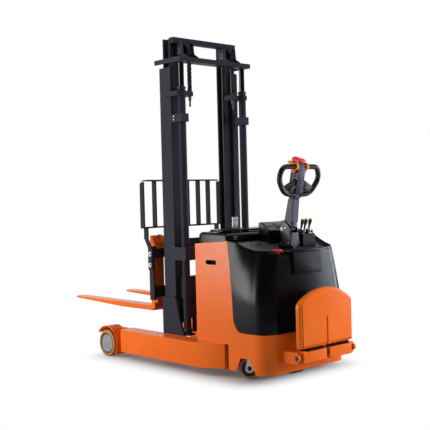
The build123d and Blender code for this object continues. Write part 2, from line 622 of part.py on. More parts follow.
def tiller_head():
    """The tiller head: a central pod with a grip loop and a web on each side."""
    with BuildPart() as part:
        with BuildSketch(HEAD_PLANE.offset(POD_REAR)) as pod:
            with BuildLine():
                Polyline((-28, -20), (-POD_HALF, 45), (-POD_HALF, POD_TOP), (POD_HALF, POD_TOP),
                         (POD_HALF, 45), (28, -20), close=True)
            make_face()
        extrude(pod.sketch, amount=POD_FRONT - POD_REAR)
        chamfer(part.edges().filter_by(lambda edge: edge.length > 150), 9)
        for side, _ in SIDES:
            with BuildLine(HEAD_PLANE) as loop:
                FilletPolyline((side * 30, GRIP_ROOT), (side * 178, GRIP_ROOT - 4), (side * 204, 135),
                               (side * 132, 32), (side * 25, 24), radius=44)
            with BuildSketch(Plane(loop.line @ 0, z_dir=loop.line % 0)) as tube:
                Circle(GRIP_R)
            sweep(tube.sketch, path=loop.line)
            with BuildSketch(HEAD_PLANE.offset(-8)) as web:
                with BuildLine():
                    Polyline((side * 30, 24), (side * 30, 122), (side * 150, 72), (side * 136, 36),
                             close=True)
                make_face()
            extrude(web.sketch, amount=16)
        block((HEAD_X - 80, HEAD_X + 80), (-60, 60), (1150, HEAD_LOW + 0.2), Mode.SUBTRACT)
        stem(STEM_R + RUN, POD_TOP - 45, POD_TOP + 1, Mode.SUBTRACT)
    return part.part


def throttle_paddles():
    """The butterfly throttle: a collar round each grip's root with a forward and a lower wing."""
    with BuildPart() as part:
        for side, _ in SIDES:
            near, far = sorted(span(side, POD_HALF + 2, POD_HALF + 34))
            root = HEAD_PLANE.from_local_coords((near, GRIP_ROOT - 1, 0))
            with BuildSketch(Plane(root, x_dir=HEAD_PLANE.y_dir, z_dir=(0, 1, 0))) as collar:
                Circle(GRIP_R + 9)
                with Locations((16, 34)):
                    Rectangle(56, WING, rotation=70)
                with Locations((-28, 8)):
                    Rectangle(36, WING, rotation=-20)
                Circle(GRIP_R + 2, mode=Mode.SUBTRACT)
            extrude(collar.sketch, amount=far - near)
    return part.part


def belly_button():
    """The red safety button over the pod's end, with its stem in the pod."""
    with BuildPart() as part:
        with BuildSketch(HEAD_PLANE.offset(POD_REAR + 2)) as cap:
            with BuildLine():
                Line((-DOME_HALF, POD_TOP + 10), (DOME_HALF, POD_TOP + 10))
                Line((DOME_HALF, POD_TOP + 10), (DOME_HALF, POD_TOP + 22))
                ThreePointArc((DOME_HALF, POD_TOP + 22), (0, POD_TOP + 38), (-DOME_HALF, POD_TOP + 22))
                Line((-DOME_HALF, POD_TOP + 22), (-DOME_HALF, POD_TOP + 10))
            make_face()
        extrude(cap.sketch, amount=POD_FRONT - POD_REAR - 4)
        fillet(part.edges().filter_by(GeomType.CIRCLE), 6)
        stem(STEM_R, POD_TOP - 30, POD_TOP + 12)
    return part.part


def stop_knob():
    """The red emergency knob on its stem."""
    with BuildPart() as part:
        bar_z(KNOB_X, KNOB_Y, (KNOB_TOP - 20, KNOB_TOP), 34)
        fillet(part.edges().group_by(Axis.Z)[-1], 8)
        bar_z(KNOB_X, KNOB_Y, (KNOB_SHELF - 14, KNOB_TOP - 18), 11)
    return part.part


def key_switch():
    """The key in its barrel, facing the operator."""
    with BuildPart() as part:
        bar_x(KEY_Y, KEY_Z, (KEY_X - 2, KEY_X + 6), 15)
        bar_x(KEY_Y, KEY_Z, (KEY_X + 5, KEY_X + 24), 8)
        block((KEY_X - 24, KEY_X - 1), (KEY_Y - 1.5, KEY_Y + 1.5), (KEY_Z - 8, KEY_Z + 8))
    return part.part


def outer_columns():
    """The two outer mast channels, open to each other, with stubs for the upper rollers."""
    rear, front = COLUMN_REAR + COLUMN_FLANGE, COLUMN_FRONT - COLUMN_FLANGE
    with BuildPart() as part:
        for side, _ in SIDES:
            block((COLUMN_REAR, COLUMN_FRONT), span(side, COLUMN_IN, COLUMN_OUT), (COLUMN_LOW, COLUMN_TOP))
            block((rear, front), span(side, COLUMN_IN - 1, COLUMN_OUT - COLUMN_WEB),
                  (COLUMN_LOW - 1, COLUMN_TOP + 1), Mode.SUBTRACT)
            bar_y(MAST_ROLLER_X, UPPER_ROLLER_Z, span(side, 295, COLUMN_OUT - COLUMN_WEB + 2), 10)
    return part.part


def roller_pair(x, z, inner, outer, radius, bore):
    """Two rollers on one axis, left and right."""
    with BuildPart() as part:
        for side, _ in SIDES:
            bar_y(x, z, span(side, inner, outer), radius)
            bar_y(x, z, span(side, inner - 1, outer + 1), bore, Mode.SUBTRACT)
    return part.part


def mast_frame():
    """Cross-members, foot plates with roller stubs, cylinder clamps and chain brackets of the outer mast."""
    foot = [(19, 75), (19, 498), (-118, 502), (-140, 480), (-158, 395), (-183, 300), (-226, 220), (-250, 214),
            (-528, 214), (-528, 75)]
    with BuildPart() as part:
        for side, _ in SIDES:
            plate_y(foot, span(side, COLUMN_OUT, 360))
            for x in REACH_ROLLERS_X.values():
                bar_y(x, REACH_Z, span(side, 355, 468), STUB_R)
            block((BAND_REAR, COLUMN_REAR + 18), span(side, COLUMN_OUT, BAND_OUT), (776, 872))
            block((BAND_REAR, COLUMN_REAR), span(side, 274, COLUMN_OUT), (TUBE_LOW - 14, TUBE_LOW))
            block((BRACKET_REAR, COLUMN_REAR), span(side, 198, 355), (BRACKET_LOW, BRACKET_TOP))
            block((COLUMN_REAR, -57), span(side, COLUMN_OUT, 355), (BRACKET_LOW, BRACKET_TOP))
            bar_z(CYLINDER_X, side * CYLINDER_Y, (BRACKET_LOW, BRACKET_TOP), TUBE_R + 10)
            block((CYLINDER_X - TUBE_R - 6, COLUMN_REAR), span(side, 276, COLUMN_OUT), (1790, 1850))
            block((-185, -163), span(side, 172, 228), (235, 338))
            bar_z(CYLINDER_X, side * CYLINDER_Y, (1780, BRACKET_TOP + 1), TUBE_R + 0.05, Mode.SUBTRACT)
            bar_z(ANCHOR_X, side * SHEAVE_Y, (BRACKET_LOW - 1, BRACKET_TOP + 1), 8.1, Mode.SUBTRACT)
        block((BAND_REAR, BAND_REAR + 12), (-BAND_OUT, BAND_OUT), (776, 872))
        block((-163, COLUMN_REAR), (-CROSS_HALF, CROSS_HALF), (485, 649))
        block((-163, COLUMN_REAR), (-CROSS_HALF, CROSS_HALF), (336, 433))
        block((COLUMN_REAR, COLUMN_FRONT), (-COLUMN_OUT, COLUMN_OUT), (75, COLUMN_LOW))
    return part.part


def lift_cylinders():
    """The two lift cylinder tubes with their glands."""
    with BuildPart() as part:
        for side, _ in SIDES:
            y = side * CYLINDER_Y
            bar_z(CYLINDER_X, y, (TUBE_LOW, TUBE_TOP), TUBE_R)
            bar_z(CYLINDER_X, y, (TUBE_LOW + 20, TUBE_TOP - 40), TUBE_BORE, Mode.SUBTRACT)
            bar_z(CYLINDER_X, y, (TUBE_TOP - 45, TUBE_TOP + 5), ROD_R + RUN, Mode.SUBTRACT)
    return part.part


def lift_rods():
    """The chromed lift rods with their pistons, standing under the yoke."""
    with BuildPart() as part:
        for side, _ in SIDES:
            y = side * CYLINDER_Y
            bar_z(CYLINDER_X, y, (462, YOKE_LOW), ROD_R)
            bar_z(CYLINDER_X, y, (462, 492), TUBE_BORE - RUN)
    return part.part


def chain_anchors():
    """Threaded chain anchors with nuts and clevises, hanging through the brackets."""
    with BuildPart() as part:
        for side, _ in SIDES:
            y = side * SHEAVE_Y
            bar_z(ANCHOR_X, y, (BRACKET_LOW - 78, BRACKET_TOP + 8), 8)
            for low, tall in ((BRACKET_LOW - 16, 16), (BRACKET_TOP, 8)):
                with BuildSketch(Plane.XY.offset(low)) as nut:
                    with Locations((ANCHOR_X, y)):
                        RegularPolygon(13, 6)
                extrude(nut.sketch, amount=tall)
            block((ANCHOR_X - 7, ANCHOR_X + 7), (y - CHAIN_WIDE / 2, y + CHAIN_WIDE / 2),
                  (BRACKET_TOP + 7, CHAIN_LOW))
    return part.part


def inner_mast():
    """The inner mast: two beams tied at the top behind and near the bottom, with lower roller stubs."""
    with BuildPart() as part:
        for side, _ in SIDES:
            block((INNER_REAR, INNER_FRONT), span(side, INNER_IN, INNER_OUT), (INNER_LOW, INNER_TOP))
            for channel in ((INNER_IN - 1, INNER_WEB[0]), (INNER_WEB[1], INNER_OUT + 1)):
                block((INNER_REAR + INNER_FLANGE, INNER_FRONT - INNER_FLANGE), span(side, *channel),
                      (INNER_LOW - 1, INNER_TOP + 1), Mode.SUBTRACT)
            block((INNER_REAR - 1, INNER_FRONT + 1), span(side, INNER_WEB[1], INNER_OUT + 1),
                  (INNER_LOW - 1, LOWER_ROLLER_Z + 50), Mode.SUBTRACT)
            bar_y(MAST_ROLLER_X, LOWER_ROLLER_Z, span(side, INNER_WEB[1] - 2, 324), 14)
            block((-116, INNER_REAR + 1), span(side, 250, 280), (420, 510))
            block((INNER_FRONT - INNER_FLANGE, INNER_FRONT), span(side, INNER_LIP, INNER_IN + 1),
                  (INNER_LOW, INNER_TOP))
        block((-116, -101), (-280, 280), (420, 510))
        block((-133, INNER_REAR + 6), (-317, 317), (2380, 2422))
    return part.part


def mast_yoke():
    """The yoke over the lift rods: a U of thick bar, with the sheave brackets and axles."""
    plate = [(-232, YOKE_TOP - 1), (-98, YOKE_TOP - 1), (-98, 2380), (-178, 2380), (-186, 2300), (-232, 2270)]
    with BuildPart() as part:
        block((YOKE_REAR, -162), (-YOKE_HALF, YOKE_HALF), (YOKE_LOW, YOKE_TOP))
        for side, _ in SIDES:
            block((-165, YOKE_FRONT), span(side, 346, YOKE_HALF), (YOKE_LOW, YOKE_TOP))
            block((-210, -176), span(side, 196, 248), (YOKE_LOW - 1, YOKE_TOP + 1), Mode.SUBTRACT)
            for inner in (158, 262):
                plate_y(plate, span(side, inner, inner + 12))
            bar_y(SHEAVE_X, SHEAVE_Z, span(side, 150, 280), 12)
    return part.part


def chain_sheaves():
    """The two chain sheaves on the yoke's axles."""
    with BuildPart() as part:
        for side, _ in SIDES:
            near, far = SHEAVE_Y - SHEAVE_HALF, SHEAVE_Y + SHEAVE_HALF
            bar_y(SHEAVE_X, SHEAVE_Z, span(side, near, far), SHEAVE_GROOVE_R)
            for flange in (near, far - 5):
                bar_y(SHEAVE_X, SHEAVE_Z, span(side, flange, flange + 5), SHEAVE_R)
            bar_y(SHEAVE_X, SHEAVE_Z, span(side, near - 1, far + 1), 12 + RUN, Mode.SUBTRACT)
    return part.part


def front_chains():
    """The chains' front runs, from the carriage up to the sheaves."""
    x = SHEAVE_X + CHAIN_R
    with BuildPart() as part:
        for side, _ in SIDES:
            y = side * SHEAVE_Y
            block((x - CHAIN_THICK / 2, x + CHAIN_THICK / 2), (y - CHAIN_WIDE / 2, y + CHAIN_WIDE / 2),
                  (906, SHEAVE_Z))
    return part.part


def rear_chains():
    """The chains over the sheaves and their rear runs down to the anchors."""
    x = SHEAVE_X - CHAIN_R
    low, high = CHAIN_R - CHAIN_THICK / 2, CHAIN_R + CHAIN_THICK / 2
    with BuildPart() as part:
        for side, _ in SIDES:
            y = (side * SHEAVE_Y - CHAIN_WIDE / 2, side * SHEAVE_Y + CHAIN_WIDE / 2)
            bar_y(SHEAVE_X, SHEAVE_Z, y, high)
            wide = (y[0] - 1, y[1] + 1)
            bar_y(SHEAVE_X, SHEAVE_Z, wide, low, Mode.SUBTRACT)
            block((SHEAVE_X - 70, SHEAVE_X + 70), wide, (SHEAVE_Z - 70, SHEAVE_Z), Mode.SUBTRACT)
            block((x - CHAIN_THICK / 2, x + CHAIN_THICK / 2), y, (CHAIN_LOW, SHEAVE_Z))
    return part.part


def lift_carriage():
    """The roller carriage: side plates, front plates, tilt ears, tilt cylinders and chain anchor blocks."""
    with BuildPart() as part:
        for side, _ in SIDES:
            block((-78, 28), span(side, 204, 217), (CARRIAGE_LOW, CARRIAGE_TOP))
            for low, high in FRONT_PLATES:
                block((27, 60), span(side, 204, 217), (low, high))
            for z in CARRIAGE_ROLLERS_Z.values():
                bar_y(MAST_ROLLER_X, z, span(side, 214, 277), 12)
            block((-105, -60), span(side, 202, 240), (CARRIAGE_TOP - 40, 905))
            block((58, 118), span(side, 196, 210), (TILT_Z - 22, TILT_Z + 22))
            bar_y(TILT_X, TILT_Z, span(side, 166, 214), 12)
            bar_x(side * PLUNGER_Y, PLUNGER_Z, (20, 84), 30)
        for low, high in FRONT_PLATES:
            block((44, 60), (-243, 243), (low, high))
        for side, _ in SIDES:
            bar_x(side * PLUNGER_Y, PLUNGER_Z, (24, 100), PLUNGER_R + RUN, Mode.SUBTRACT)
    return part.part


def tilt_plungers():
    """The two domed tilt plungers in their cylinders."""
    with BuildPart() as part:
        for side, _ in SIDES:
            bar_x(side * PLUNGER_Y, PLUNGER_Z, (44, PAD_REAR - PLUNGER_GAP), PLUNGER_R)
        fillet(part.edges().filter_by(GeomType.CIRCLE).group_by(Axis.X)[-1], 9)
    return part.part


def fork_carriage():
    """The tilting fork carriage: two bars, end plates, hinge plates and plunger pads."""
    with BuildPart() as part:
        for low, high in (UPPER_BAR, LOWER_BAR):
            block((BAR_REAR, BAR_FRONT), (-BAR_HALF, BAR_HALF), (low, high))
        for side, _ in SIDES:
            block((118, BAR_FRONT), span(side, 346, BAR_HALF), (LOWER_BAR[0], UPPER_BAR[1]))
            block((82, BAR_REAR + 1), span(side, 174, 190), (490, 842))
            bar_y(TILT_X, TILT_Z, span(side, 170, 194), 12 + RUN, Mode.SUBTRACT)
            block((PAD_REAR, BAR_REAR + 1), span(side, 100, 176), (490, 556))
    return part.part


def fork(side):
    """A fork: tapering blade, shank, and hooks over and under the carriage bars."""
    under = FORK_TOP - FORK_THICK
    blade = [(SHANK_REAR, SHANK_TOP), (SHANK_REAR, under + 26), (SHANK_REAR + 26, under), (620, under),
             (FORK_TIP, FORK_TOP - FORK_TIP_THICK), (FORK_TIP, FORK_TOP),
             (SHANK_FRONT + 14, FORK_TOP), (SHANK_FRONT, FORK_TOP + 14), (SHANK_FRONT, SHANK_TOP)]
    gap = 0.5
    hook = [(SHANK_REAR - 1, UPPER_BAR[1] + gap), (BAR_REAR - gap, UPPER_BAR[1] + gap),
            (BAR_REAR - gap, UPPER_BAR[1] - 20), (BAR_REAR - 14, UPPER_BAR[1] - 20),
            (BAR_REAR - 14, UPPER_BAR[1] + 30), (SHANK_REAR + 1, SHANK_TOP),
            (SHANK_REAR + 1, UPPER_BAR[1] + gap)]
    heel = [(SHANK_REAR + 1, LOWER_BAR[0] - gap), (BAR_REAR - gap, LOWER_BAR[0] - gap),
            (BAR_REAR - gap, LOWER_BAR[0] + 18), (BAR_REAR - 14, LOWER_BAR[0] + 18),
            (BAR_REAR - 14, LOWER_BAR[0] - 24), (SHANK_REAR + 1, LOWER_BAR[0] - 24)]
    with BuildPart() as part:
        plate_y(blade, span(side, FORK_IN, FORK_OUT))
        tip = part.edges().filter_by(Axis.Z).group_by(Axis.X)[-1]
        fillet(tip, 40)
        plate_y(hook, span(side, FORK_IN, FORK_OUT))
        plate_y(heel, span(side, FORK_IN, FORK_OUT))
        bar_z(BAR_REAR + 6, side * (FORK_IN + FORK_OUT) / 2, (900, 958), 9)
        bar_z(BAR_REAR + 6, side * (FORK_IN + FORK_OUT) / 2, (940, 956), 15)
    return part.part


def load_backrest():
    """The load backrest: a grille of flat bars on two cranked legs bolted to the carriage's ends."""
    rear, front = SHANK_FRONT - 44, SHANK_FRONT
    wall = 12
    with BuildPart() as part:
        with BuildSketch(Plane.YZ.offset(rear)) as frame:
            with Locations((0, (REST_LOW + REST_TOP) / 2)):
                Rectangle(2 * REST_HALF, REST_TOP - REST_LOW)
            fillet(frame.vertices().group_by(Axis.Y)[-1], 48)
            with Locations((0, (REST_LOW + REST_TOP) / 2)):
                inner = Rectangle(2 * (REST_HALF - wall), REST_TOP - REST_LOW - 2 * wall, mode=Mode.PRIVATE)
            add(inner, mode=Mode.SUBTRACT)
        extrude(frame.sketch, amount=front - rear)
        for y in REST_BARS:
            block((rear, front), (y - wall / 2, y + wall / 2), (REST_LOW + 2, REST_TOP - 2))
        for side, _ in SIDES:
            leg_line = [(rear, REST_LOW + 2), (front, REST_LOW + 2), (front, 930), (rear, 860), (rear, 690),
                        (118, 690), (118, 850), (rear, 925)]
            plate_y(leg_line, span(side, BAR_HALF, BAR_HALF + wall))
            block((rear, front), span(side, BAR_HALF, REST_HALF), (REST_LOW, REST_LOW + wall))
    return part.part


os.makedirs("parts", exist_ok=True)

for side, hand in SIDES:
    tyre_y = sorted(span(side, LOAD_IN, LOAD_OUT))
    save(leg(side), f"{hand}_leg")
    save(load_hub(side), f"{hand}_load_hub")
    save(ring_y(AXLE_X, AXLE_Z, tyre_y, LOAD_RIM_R, LOAD_R, 7), f"{hand}_load_tyre")
    save(castor_fork(side, hand), f"{hand}_castor_fork")
    save(castor_wheel(side, hand), f"{hand}_castor_wheel")
    save(fork(side), f"{hand}_fork")

for name, y in LEVERS.items():
    save(lever(y), name)

for name, x in REACH_ROLLERS_X.items():
    save(roller_pair(x, REACH_Z, 380, 466, REACH_ROLLER_R, STUB_R + RUN), name)

for name, z in CARRIAGE_ROLLERS_Z.items():
    save(roller_pair(MAST_ROLLER_X, z, 249, 277, SMALL_ROLLER_R, 12 + RUN), name)

save(roller_pair(MAST_ROLLER_X, UPPER_ROLLER_Z, 297, 320, SMALL_ROLLER_R, 10 + RUN), "upper_mast_rollers")
save(roller_pair(MAST_ROLLER_X, LOWER_ROLLER_Z, 297, 323, LARGE_ROLLER_R, 14 + RUN), "lower_mast_rollers")

WHOLE = (chassis_frame, body_panels, rear_cover, deck_panel, console, battery_lid, battery,
         hydraulic_unit, motor_controller, valve_block, reach_cylinders, reach_rods, steer_bearing,
         platform_hinge, platform, drive_gearbox, drive_motor, drive_wheel, tiller_base, tiller_arm,
         tiller_head, throttle_paddles, belly_button, stop_knob, key_switch, outer_columns, mast_frame,
         lift_cylinders, lift_rods, chain_anchors, inner_mast, mast_yoke, chain_sheaves, front_chains,
         rear_chains, lift_carriage, tilt_plungers, fork_carriage, load_backrest)
for make in WHOLE:
    save(make(), make.__name__)
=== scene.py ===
import math

import bmesh
import bpy
from mathutils import Matrix, Vector


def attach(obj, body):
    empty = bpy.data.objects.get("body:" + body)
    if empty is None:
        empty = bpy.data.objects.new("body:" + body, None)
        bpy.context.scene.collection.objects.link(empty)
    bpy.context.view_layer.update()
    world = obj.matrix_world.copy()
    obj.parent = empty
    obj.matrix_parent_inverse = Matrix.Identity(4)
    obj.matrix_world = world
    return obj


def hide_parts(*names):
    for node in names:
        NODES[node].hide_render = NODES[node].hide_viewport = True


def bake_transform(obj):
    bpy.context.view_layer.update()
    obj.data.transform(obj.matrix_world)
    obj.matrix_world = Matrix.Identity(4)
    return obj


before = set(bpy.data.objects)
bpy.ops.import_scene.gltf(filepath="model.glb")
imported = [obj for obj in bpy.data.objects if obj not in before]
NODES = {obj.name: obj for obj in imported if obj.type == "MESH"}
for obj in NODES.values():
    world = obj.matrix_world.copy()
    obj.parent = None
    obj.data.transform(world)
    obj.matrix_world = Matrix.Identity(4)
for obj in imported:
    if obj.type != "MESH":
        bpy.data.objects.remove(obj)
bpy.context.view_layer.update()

LEFT, RIGHT = 1, -1
SIDES = ((LEFT, "left"), (RIGHT, "right"))
UP = Vector((0, 0, 1))
METRES = 0.001


# Nodes

def fresh(owner):
    """Turn on the node tree of a material or a world, and empty it."""
    owner.use_nodes = True
    owner.node_tree.nodes.clear()
    return owner.node_tree


def add(tree, kind, values=None, **settings):
    """Add a node to a tree, with its settings and with constants on its sockets."""
    made = tree.nodes.new(kind)
    for key, value in settings.items():
        setattr(made, key, value)
    for socket, value in (values or {}).items():
        made.inputs[socket].default_value = value
    return made


def map_range(tree, source, low, high, first, last, shape="LINEAR"):
    """Map a value between low and high to a number between first and last."""
    limits = {"From Min": low, "From Max": high, "To Min": first, "To Max": last}
    made = add(tree, "ShaderNodeMapRange", limits, interpolation_type=shape)
    tree.links.new(source, made.inputs["Value"])
    return made.outputs[0]


def mix_shaders(tree, factor, first, second, out):
    """Mix two shaders by a factor and give them to an output node."""
    mix = add(tree, "ShaderNodeMixShader")
    for source, socket in zip((factor, first, second), mix.inputs):
        tree.links.new(source, socket)
    tree.links.new(mix.outputs[0], out.inputs[0])


# Materials

DRIFT_SPAN = (0.35, 0.68)
NOISE_SPAN = (0.3, 0.7)


class Shader:
    """A node material with one Principled shader, and small helpers that add texture nodes to it."""

    def __init__(self, name, metallic=0.0, coat=0.0, coat_rough=0.1, specular=0.5):
        self.material = bpy.data.materials.new(name)
        self.tree = fresh(self.material)
        self.bsdf = add(self.tree, "ShaderNodeBsdfPrincipled",
                        {"Metallic": metallic, "Coat Weight": coat, "Coat Roughness": coat_rough,
                         "Specular IOR Level": specular})
        self.link(self.bsdf.outputs[0], add(self.tree, "ShaderNodeOutputMaterial").inputs[0])
        self.where = add(self.tree, "ShaderNodeTexCoord").outputs["Object"]

    def link(self, source, target):
        self.tree.links.new(source, target)

    def noise(self, scale, detail=4.0, rough=0.55, stretch=None):
        """A noise in the object's own space, drawn out where stretch scales an axis down."""
        made = add(self.tree, "ShaderNodeTexNoise", {"Scale": scale, "Detail": detail, "Roughness": rough})
        where = self.where
        if stretch:
            mapping = add(self.tree, "ShaderNodeMapping", {"Scale": stretch})
            self.link(where, mapping.inputs["Vector"])
            where = mapping.outputs[0]
        self.link(where, made.inputs["Vector"])
        return made.outputs["Fac"]

    def colour(self, source, span, colour, darker, lighter):
        """Let the base colour drift from darker to lighter with a noise."""
        made = add(self.tree, "ShaderNodeValToRGB")
        for stop, position, factor in zip(made.color_ramp.elements, span, (darker, lighter)):
            stop.position = position
            stop.color = (*(min(1.0, channel * factor) for channel in colour), 1)
        self.link(source, made.inputs["Fac"])
        self.link(made.outputs["Color"], self.bsdf.inputs["Base Color"])

    def rough(self, source, rough):
        self.link(map_range(self.tree, source, *NOISE_SPAN, *rough), self.bsdf.inputs["Roughness"])

    def bump(self, source, strength, distance):
        made = add(self.tree, "ShaderNodeBump", {"Strength": strength, "Distance": distance})
        self.link(source, made.inputs["Height"])
        self.link(made.outputs[0], self.bsdf.inputs["Normal"])


def paint(name, colour, rough=(0.3, 0.4), coat=0.0, peel=0.12, specular=0.5):
    """Sprayed enamel: a slight drift of tone, orange peel, and handled patches that are a little duller."""
    shader = Shader(name, coat=coat, coat_rough=0.18, specular=specular)
    shader.colour(shader.noise(2.3, 3), DRIFT_SPAN, colour, 0.93, 1.05)
    shader.rough(shader.noise(14, 5, 0.6), rough)
    shader.bump(shader.noise(380, 2, 0.4), peel, 0.0006)
    return shader.material


def plastic(name, colour, rough=(0.42, 0.55), grain=900, depth=0.25, drift=0.08, specular=0.5):
    """Moulded plastic with a fine spark-eroded grain."""
    shader = Shader(name, specular=specular)
    shader.colour(shader.noise(5, 3), DRIFT_SPAN, colour, 1 - drift, 1 + drift)
    shader.rough(shader.noise(22, 4), rough)
    shader.bump(shader.noise(grain, 3, 0.6), depth, 0.0004)
    return shader.material


def metal(name, colour, rough=(0.2, 0.35), brush=None, fleck=0.06, bump=0.05):
    """Bare or plated metal, with fine tool marks where brush gives their direction."""
    shader = Shader(name, metallic=1.0)
    grain = shader.noise(60, 5, 0.65, brush)
    shader.colour(grain, NOISE_SPAN, colour, 1 - fleck, 1 + fleck)
    shader.rough(grain, rough)
    shader.bump(grain, bump, 0.0005)
    return shader.material


def tyre(name, colour, rough=(0.4, 0.55), specular=0.5):
    """Cast polyurethane or rubber, with faint scuffs and dust."""
    shader = Shader(name, specular=specular)
    shader.colour(shader.noise(18, 5, 0.6), (0.32, 0.7), colour, 0.82, 1.12)
    shader.rough(shader.noise(45, 5), rough)
    shader.bump(shader.noise(240, 4, 0.6), 0.15, 0.0006)
    return shader.material


DRAWN = (1, 1, 0.02)

ORANGE = paint("orange_enamel", (0.87, 0.15, 0.007), rough=(0.2, 0.27), peel=0.05, specular=0.2)
MAST = paint("charcoal_enamel", (0.033, 0.0345, 0.046), rough=(0.28, 0.36), peel=0.03, specular=0.04)
BRACKET = paint("dark_enamel", (0.012, 0.0125, 0.015), rough=(0.3, 0.42))
TILLER = paint("blue_grey_enamel", (0.09, 0.095, 0.138), rough=(0.4, 0.5), peel=0.2, specular=0.2)
# A dark strip colour: painted shade of the crease on the folded platform.
SHADE = paint("painted_crease_shade", (0.03, 0.005, 0.001), rough=(0.5, 0.6), peel=0.0, specular=0.05)
COVER = plastic("black_moulding", (0.004, 0.004, 0.0045), rough=(0.2, 0.25), grain=1400, depth=0.02,
                specular=0.16)
DECK = plastic("deck_moulding", (0.05, 0.049, 0.047), rough=(0.38, 0.48), depth=0.12, specular=0.3)
TRAY = plastic("tray_moulding", (0.004, 0.004, 0.0045), rough=(0.3, 0.36), grain=1400, depth=0.02,
               specular=0.06)
CONSOLE = plastic("console_moulding", (0.2, 0.2, 0.205))
GRIP = plastic("grip_moulding", (0.008, 0.008, 0.0095), rough=(0.26, 0.36), grain=1100, depth=0.1,
               specular=0.4)
KNOB = plastic("black_knob", (0.012, 0.012, 0.012), rough=(0.3, 0.42))
RED = plastic("red_gloss", (0.95, 0.015, 0.035), rough=(0.28, 0.34), depth=0.01, specular=0.4)
YELLOW = plastic("amber_gloss", (0.85, 0.27, 0.01), rough=(0.42, 0.5), depth=0.05, specular=0.2)
LEVER_TIP = plastic("yellow_tip", (0.88, 0.42, 0.02), rough=(0.4, 0.5), depth=0.05, specular=0.2)
CHROME = metal("hard_chrome", (0.78, 0.79, 0.82), rough=(0.05, 0.12), brush=DRAWN, fleck=0.02, bump=0.01)
# Dark metal for the lift rods, which are chrome: painted shade, as they look in shadow.
SHADED_CHROME = metal("chrome_painted_shade", (0.075, 0.075, 0.085), rough=(0.2, 0.3), brush=DRAWN, fleck=0.02, bump=0.01)
STEEL = metal("machined_steel", (0.52, 0.52, 0.53), rough=(0.26, 0.4))
CHAIN = plastic("oiled_chain", (0.011, 0.0095, 0.0085), rough=(0.3, 0.45), drift=0.3, specular=0.35)
CAST = paint("cast_grey", (0.07, 0.07, 0.075), rough=(0.5, 0.65), peel=0.5)
ALLOY = metal("sand_cast_alloy", (0.42, 0.43, 0.44), rough=(0.42, 0.6), bump=0.2)
# Light grey paint for the steel rings on the sheave caps: painted reflection, bright from any side.
RING_GLINT = paint("ring_painted_glint", (0.62, 0.62, 0.6), rough=(0.3, 0.42))
HUB = paint("silver_hub", (0.25, 0.26, 0.27), rough=(0.35, 0.5), coat=0.1, peel=0.3)
AMBER_TYRE = tyre("amber_polyurethane", (0.43, 0.18, 0.014))
CASTOR_TYRE = tyre("brown_polyurethane", (0.52, 0.2, 0.055))
BLACK_TYRE = tyre("black_rubber", (0.018, 0.018, 0.018), rough=(0.6, 0.75), specular=0.35)
GLASS = plastic("display_glass", (0.01, 0.012, 0.014), rough=(0.06, 0.1), depth=0.02, drift=0.02)
POD = plastic("pod_moulding", (0.016, 0.0165, 0.021), rough=(0.32, 0.44), grain=1000, depth=0.15,
              specular=0.22)
ZINC = metal("zinc_plate", (0.72, 0.72, 0.71), rough=(0.3, 0.45), bump=0.08)
BRASS = metal("brass", (0.62, 0.44, 0.2), rough=(0.25, 0.4))
CHAIN_PIN = plastic("chain_pins", (0.1, 0.072, 0.045), rough=(0.25, 0.4))
CASTING = plastic("black_casting", (0.006, 0.006, 0.0065), rough=(0.42, 0.52), depth=0.1, specular=0.14)
# Near-black with little sheen: painted shade, laid on gaps, wells and slits that stand in shadow.
PAINTED_SHADE = plastic("painted_shade", (0.002, 0.002, 0.002), rough=(0.6, 0.7), specular=0.08)
BATTERY = plastic("battery_case", (0.02, 0.02, 0.021), rough=(0.5, 0.65), grain=500)


# Finish of the CAD nodes that stay in view

SHARP_ANGLE, BEVEL_ANGLE, FLAT_ANGLE = 35, 32, 0.6
WELD_GAP = 0.00002
PIERCED = ("load_backrest", "lift_carriage", "fork_carriage", "motor_controller", "drive_gearbox")


def smoothing_group():
    """A geometry node group that shades smooth, with sharp edges kept above SHARP_ANGLE."""
    group = bpy.data.node_groups.new("smooth_by_angle", "GeometryNodeTree")
    for way in ("INPUT", "OUTPUT"):
        group.interface.new_socket("Geometry", in_out=way, socket_type="NodeSocketGeometry")
    start, end = add(group, "NodeGroupInput"), add(group, "NodeGroupOutput")
    faces = add(group, "GeometryNodeSetShadeSmooth", domain="FACE")
    edges = add(group, "GeometryNodeSetShadeSmooth", {"Shade Smooth": False}, domain="EDGE")
    angle = add(group, "GeometryNodeInputMeshEdgeAngle")
    sharp = add(group, "FunctionNodeCompare", {1: math.radians(SHARP_ANGLE)}, operation="GREATER_THAN")
    for source, target in ((start.outputs[0], faces.inputs["Geometry"]),
                           (faces.outputs[0], edges.inputs["Geometry"]),
                           (angle.outputs["Unsigned Angle"], sharp.inputs[0]),
                           (sharp.outputs[0], edges.inputs["Selection"]),
                           (edges.outputs[0], end.inputs[0])):
        group.links.new(source, target)
    return group


SMOOTH = smoothing_group()


def soften(obj, width):
    """Round an object's edges and shade it smooth; pierced plates keep their triangles."""
    if width:
        obj.modifiers.new("weld", "WELD").merge_threshold = WELD_GAP
        if obj.name not in PIERCED:
            flat = obj.modifiers.new("flat", "DECIMATE")
            flat.decimate_type = "DISSOLVE"
            flat.angle_limit = math.radians(FLAT_ANGLE)
        bevel = obj.modifiers.new("bevel", "BEVEL")
        bevel.width = width
        bevel.segments = 2
        bevel.limit_method = "ANGLE"
        bevel.angle_limit = math.radians(BEVEL_ANGLE)
        bevel.use_clamp_overlap = True
        bevel.miter_outer = "MITER_ARC"
    obj.modifiers.new("smooth", "NODES").node_group = SMOOTH
    even = obj.modifiers.new("even", "WEIGHTED_NORMAL")
    even.weight = 100
    even.keep_sharp = True


def dress(material, width, *names):
    """Give CAD nodes their finish and softened edges."""
    for name in names:
        node = NODES[name]
        node.data.materials.clear()
        node.data.materials.append(material)
        soften(node, width)


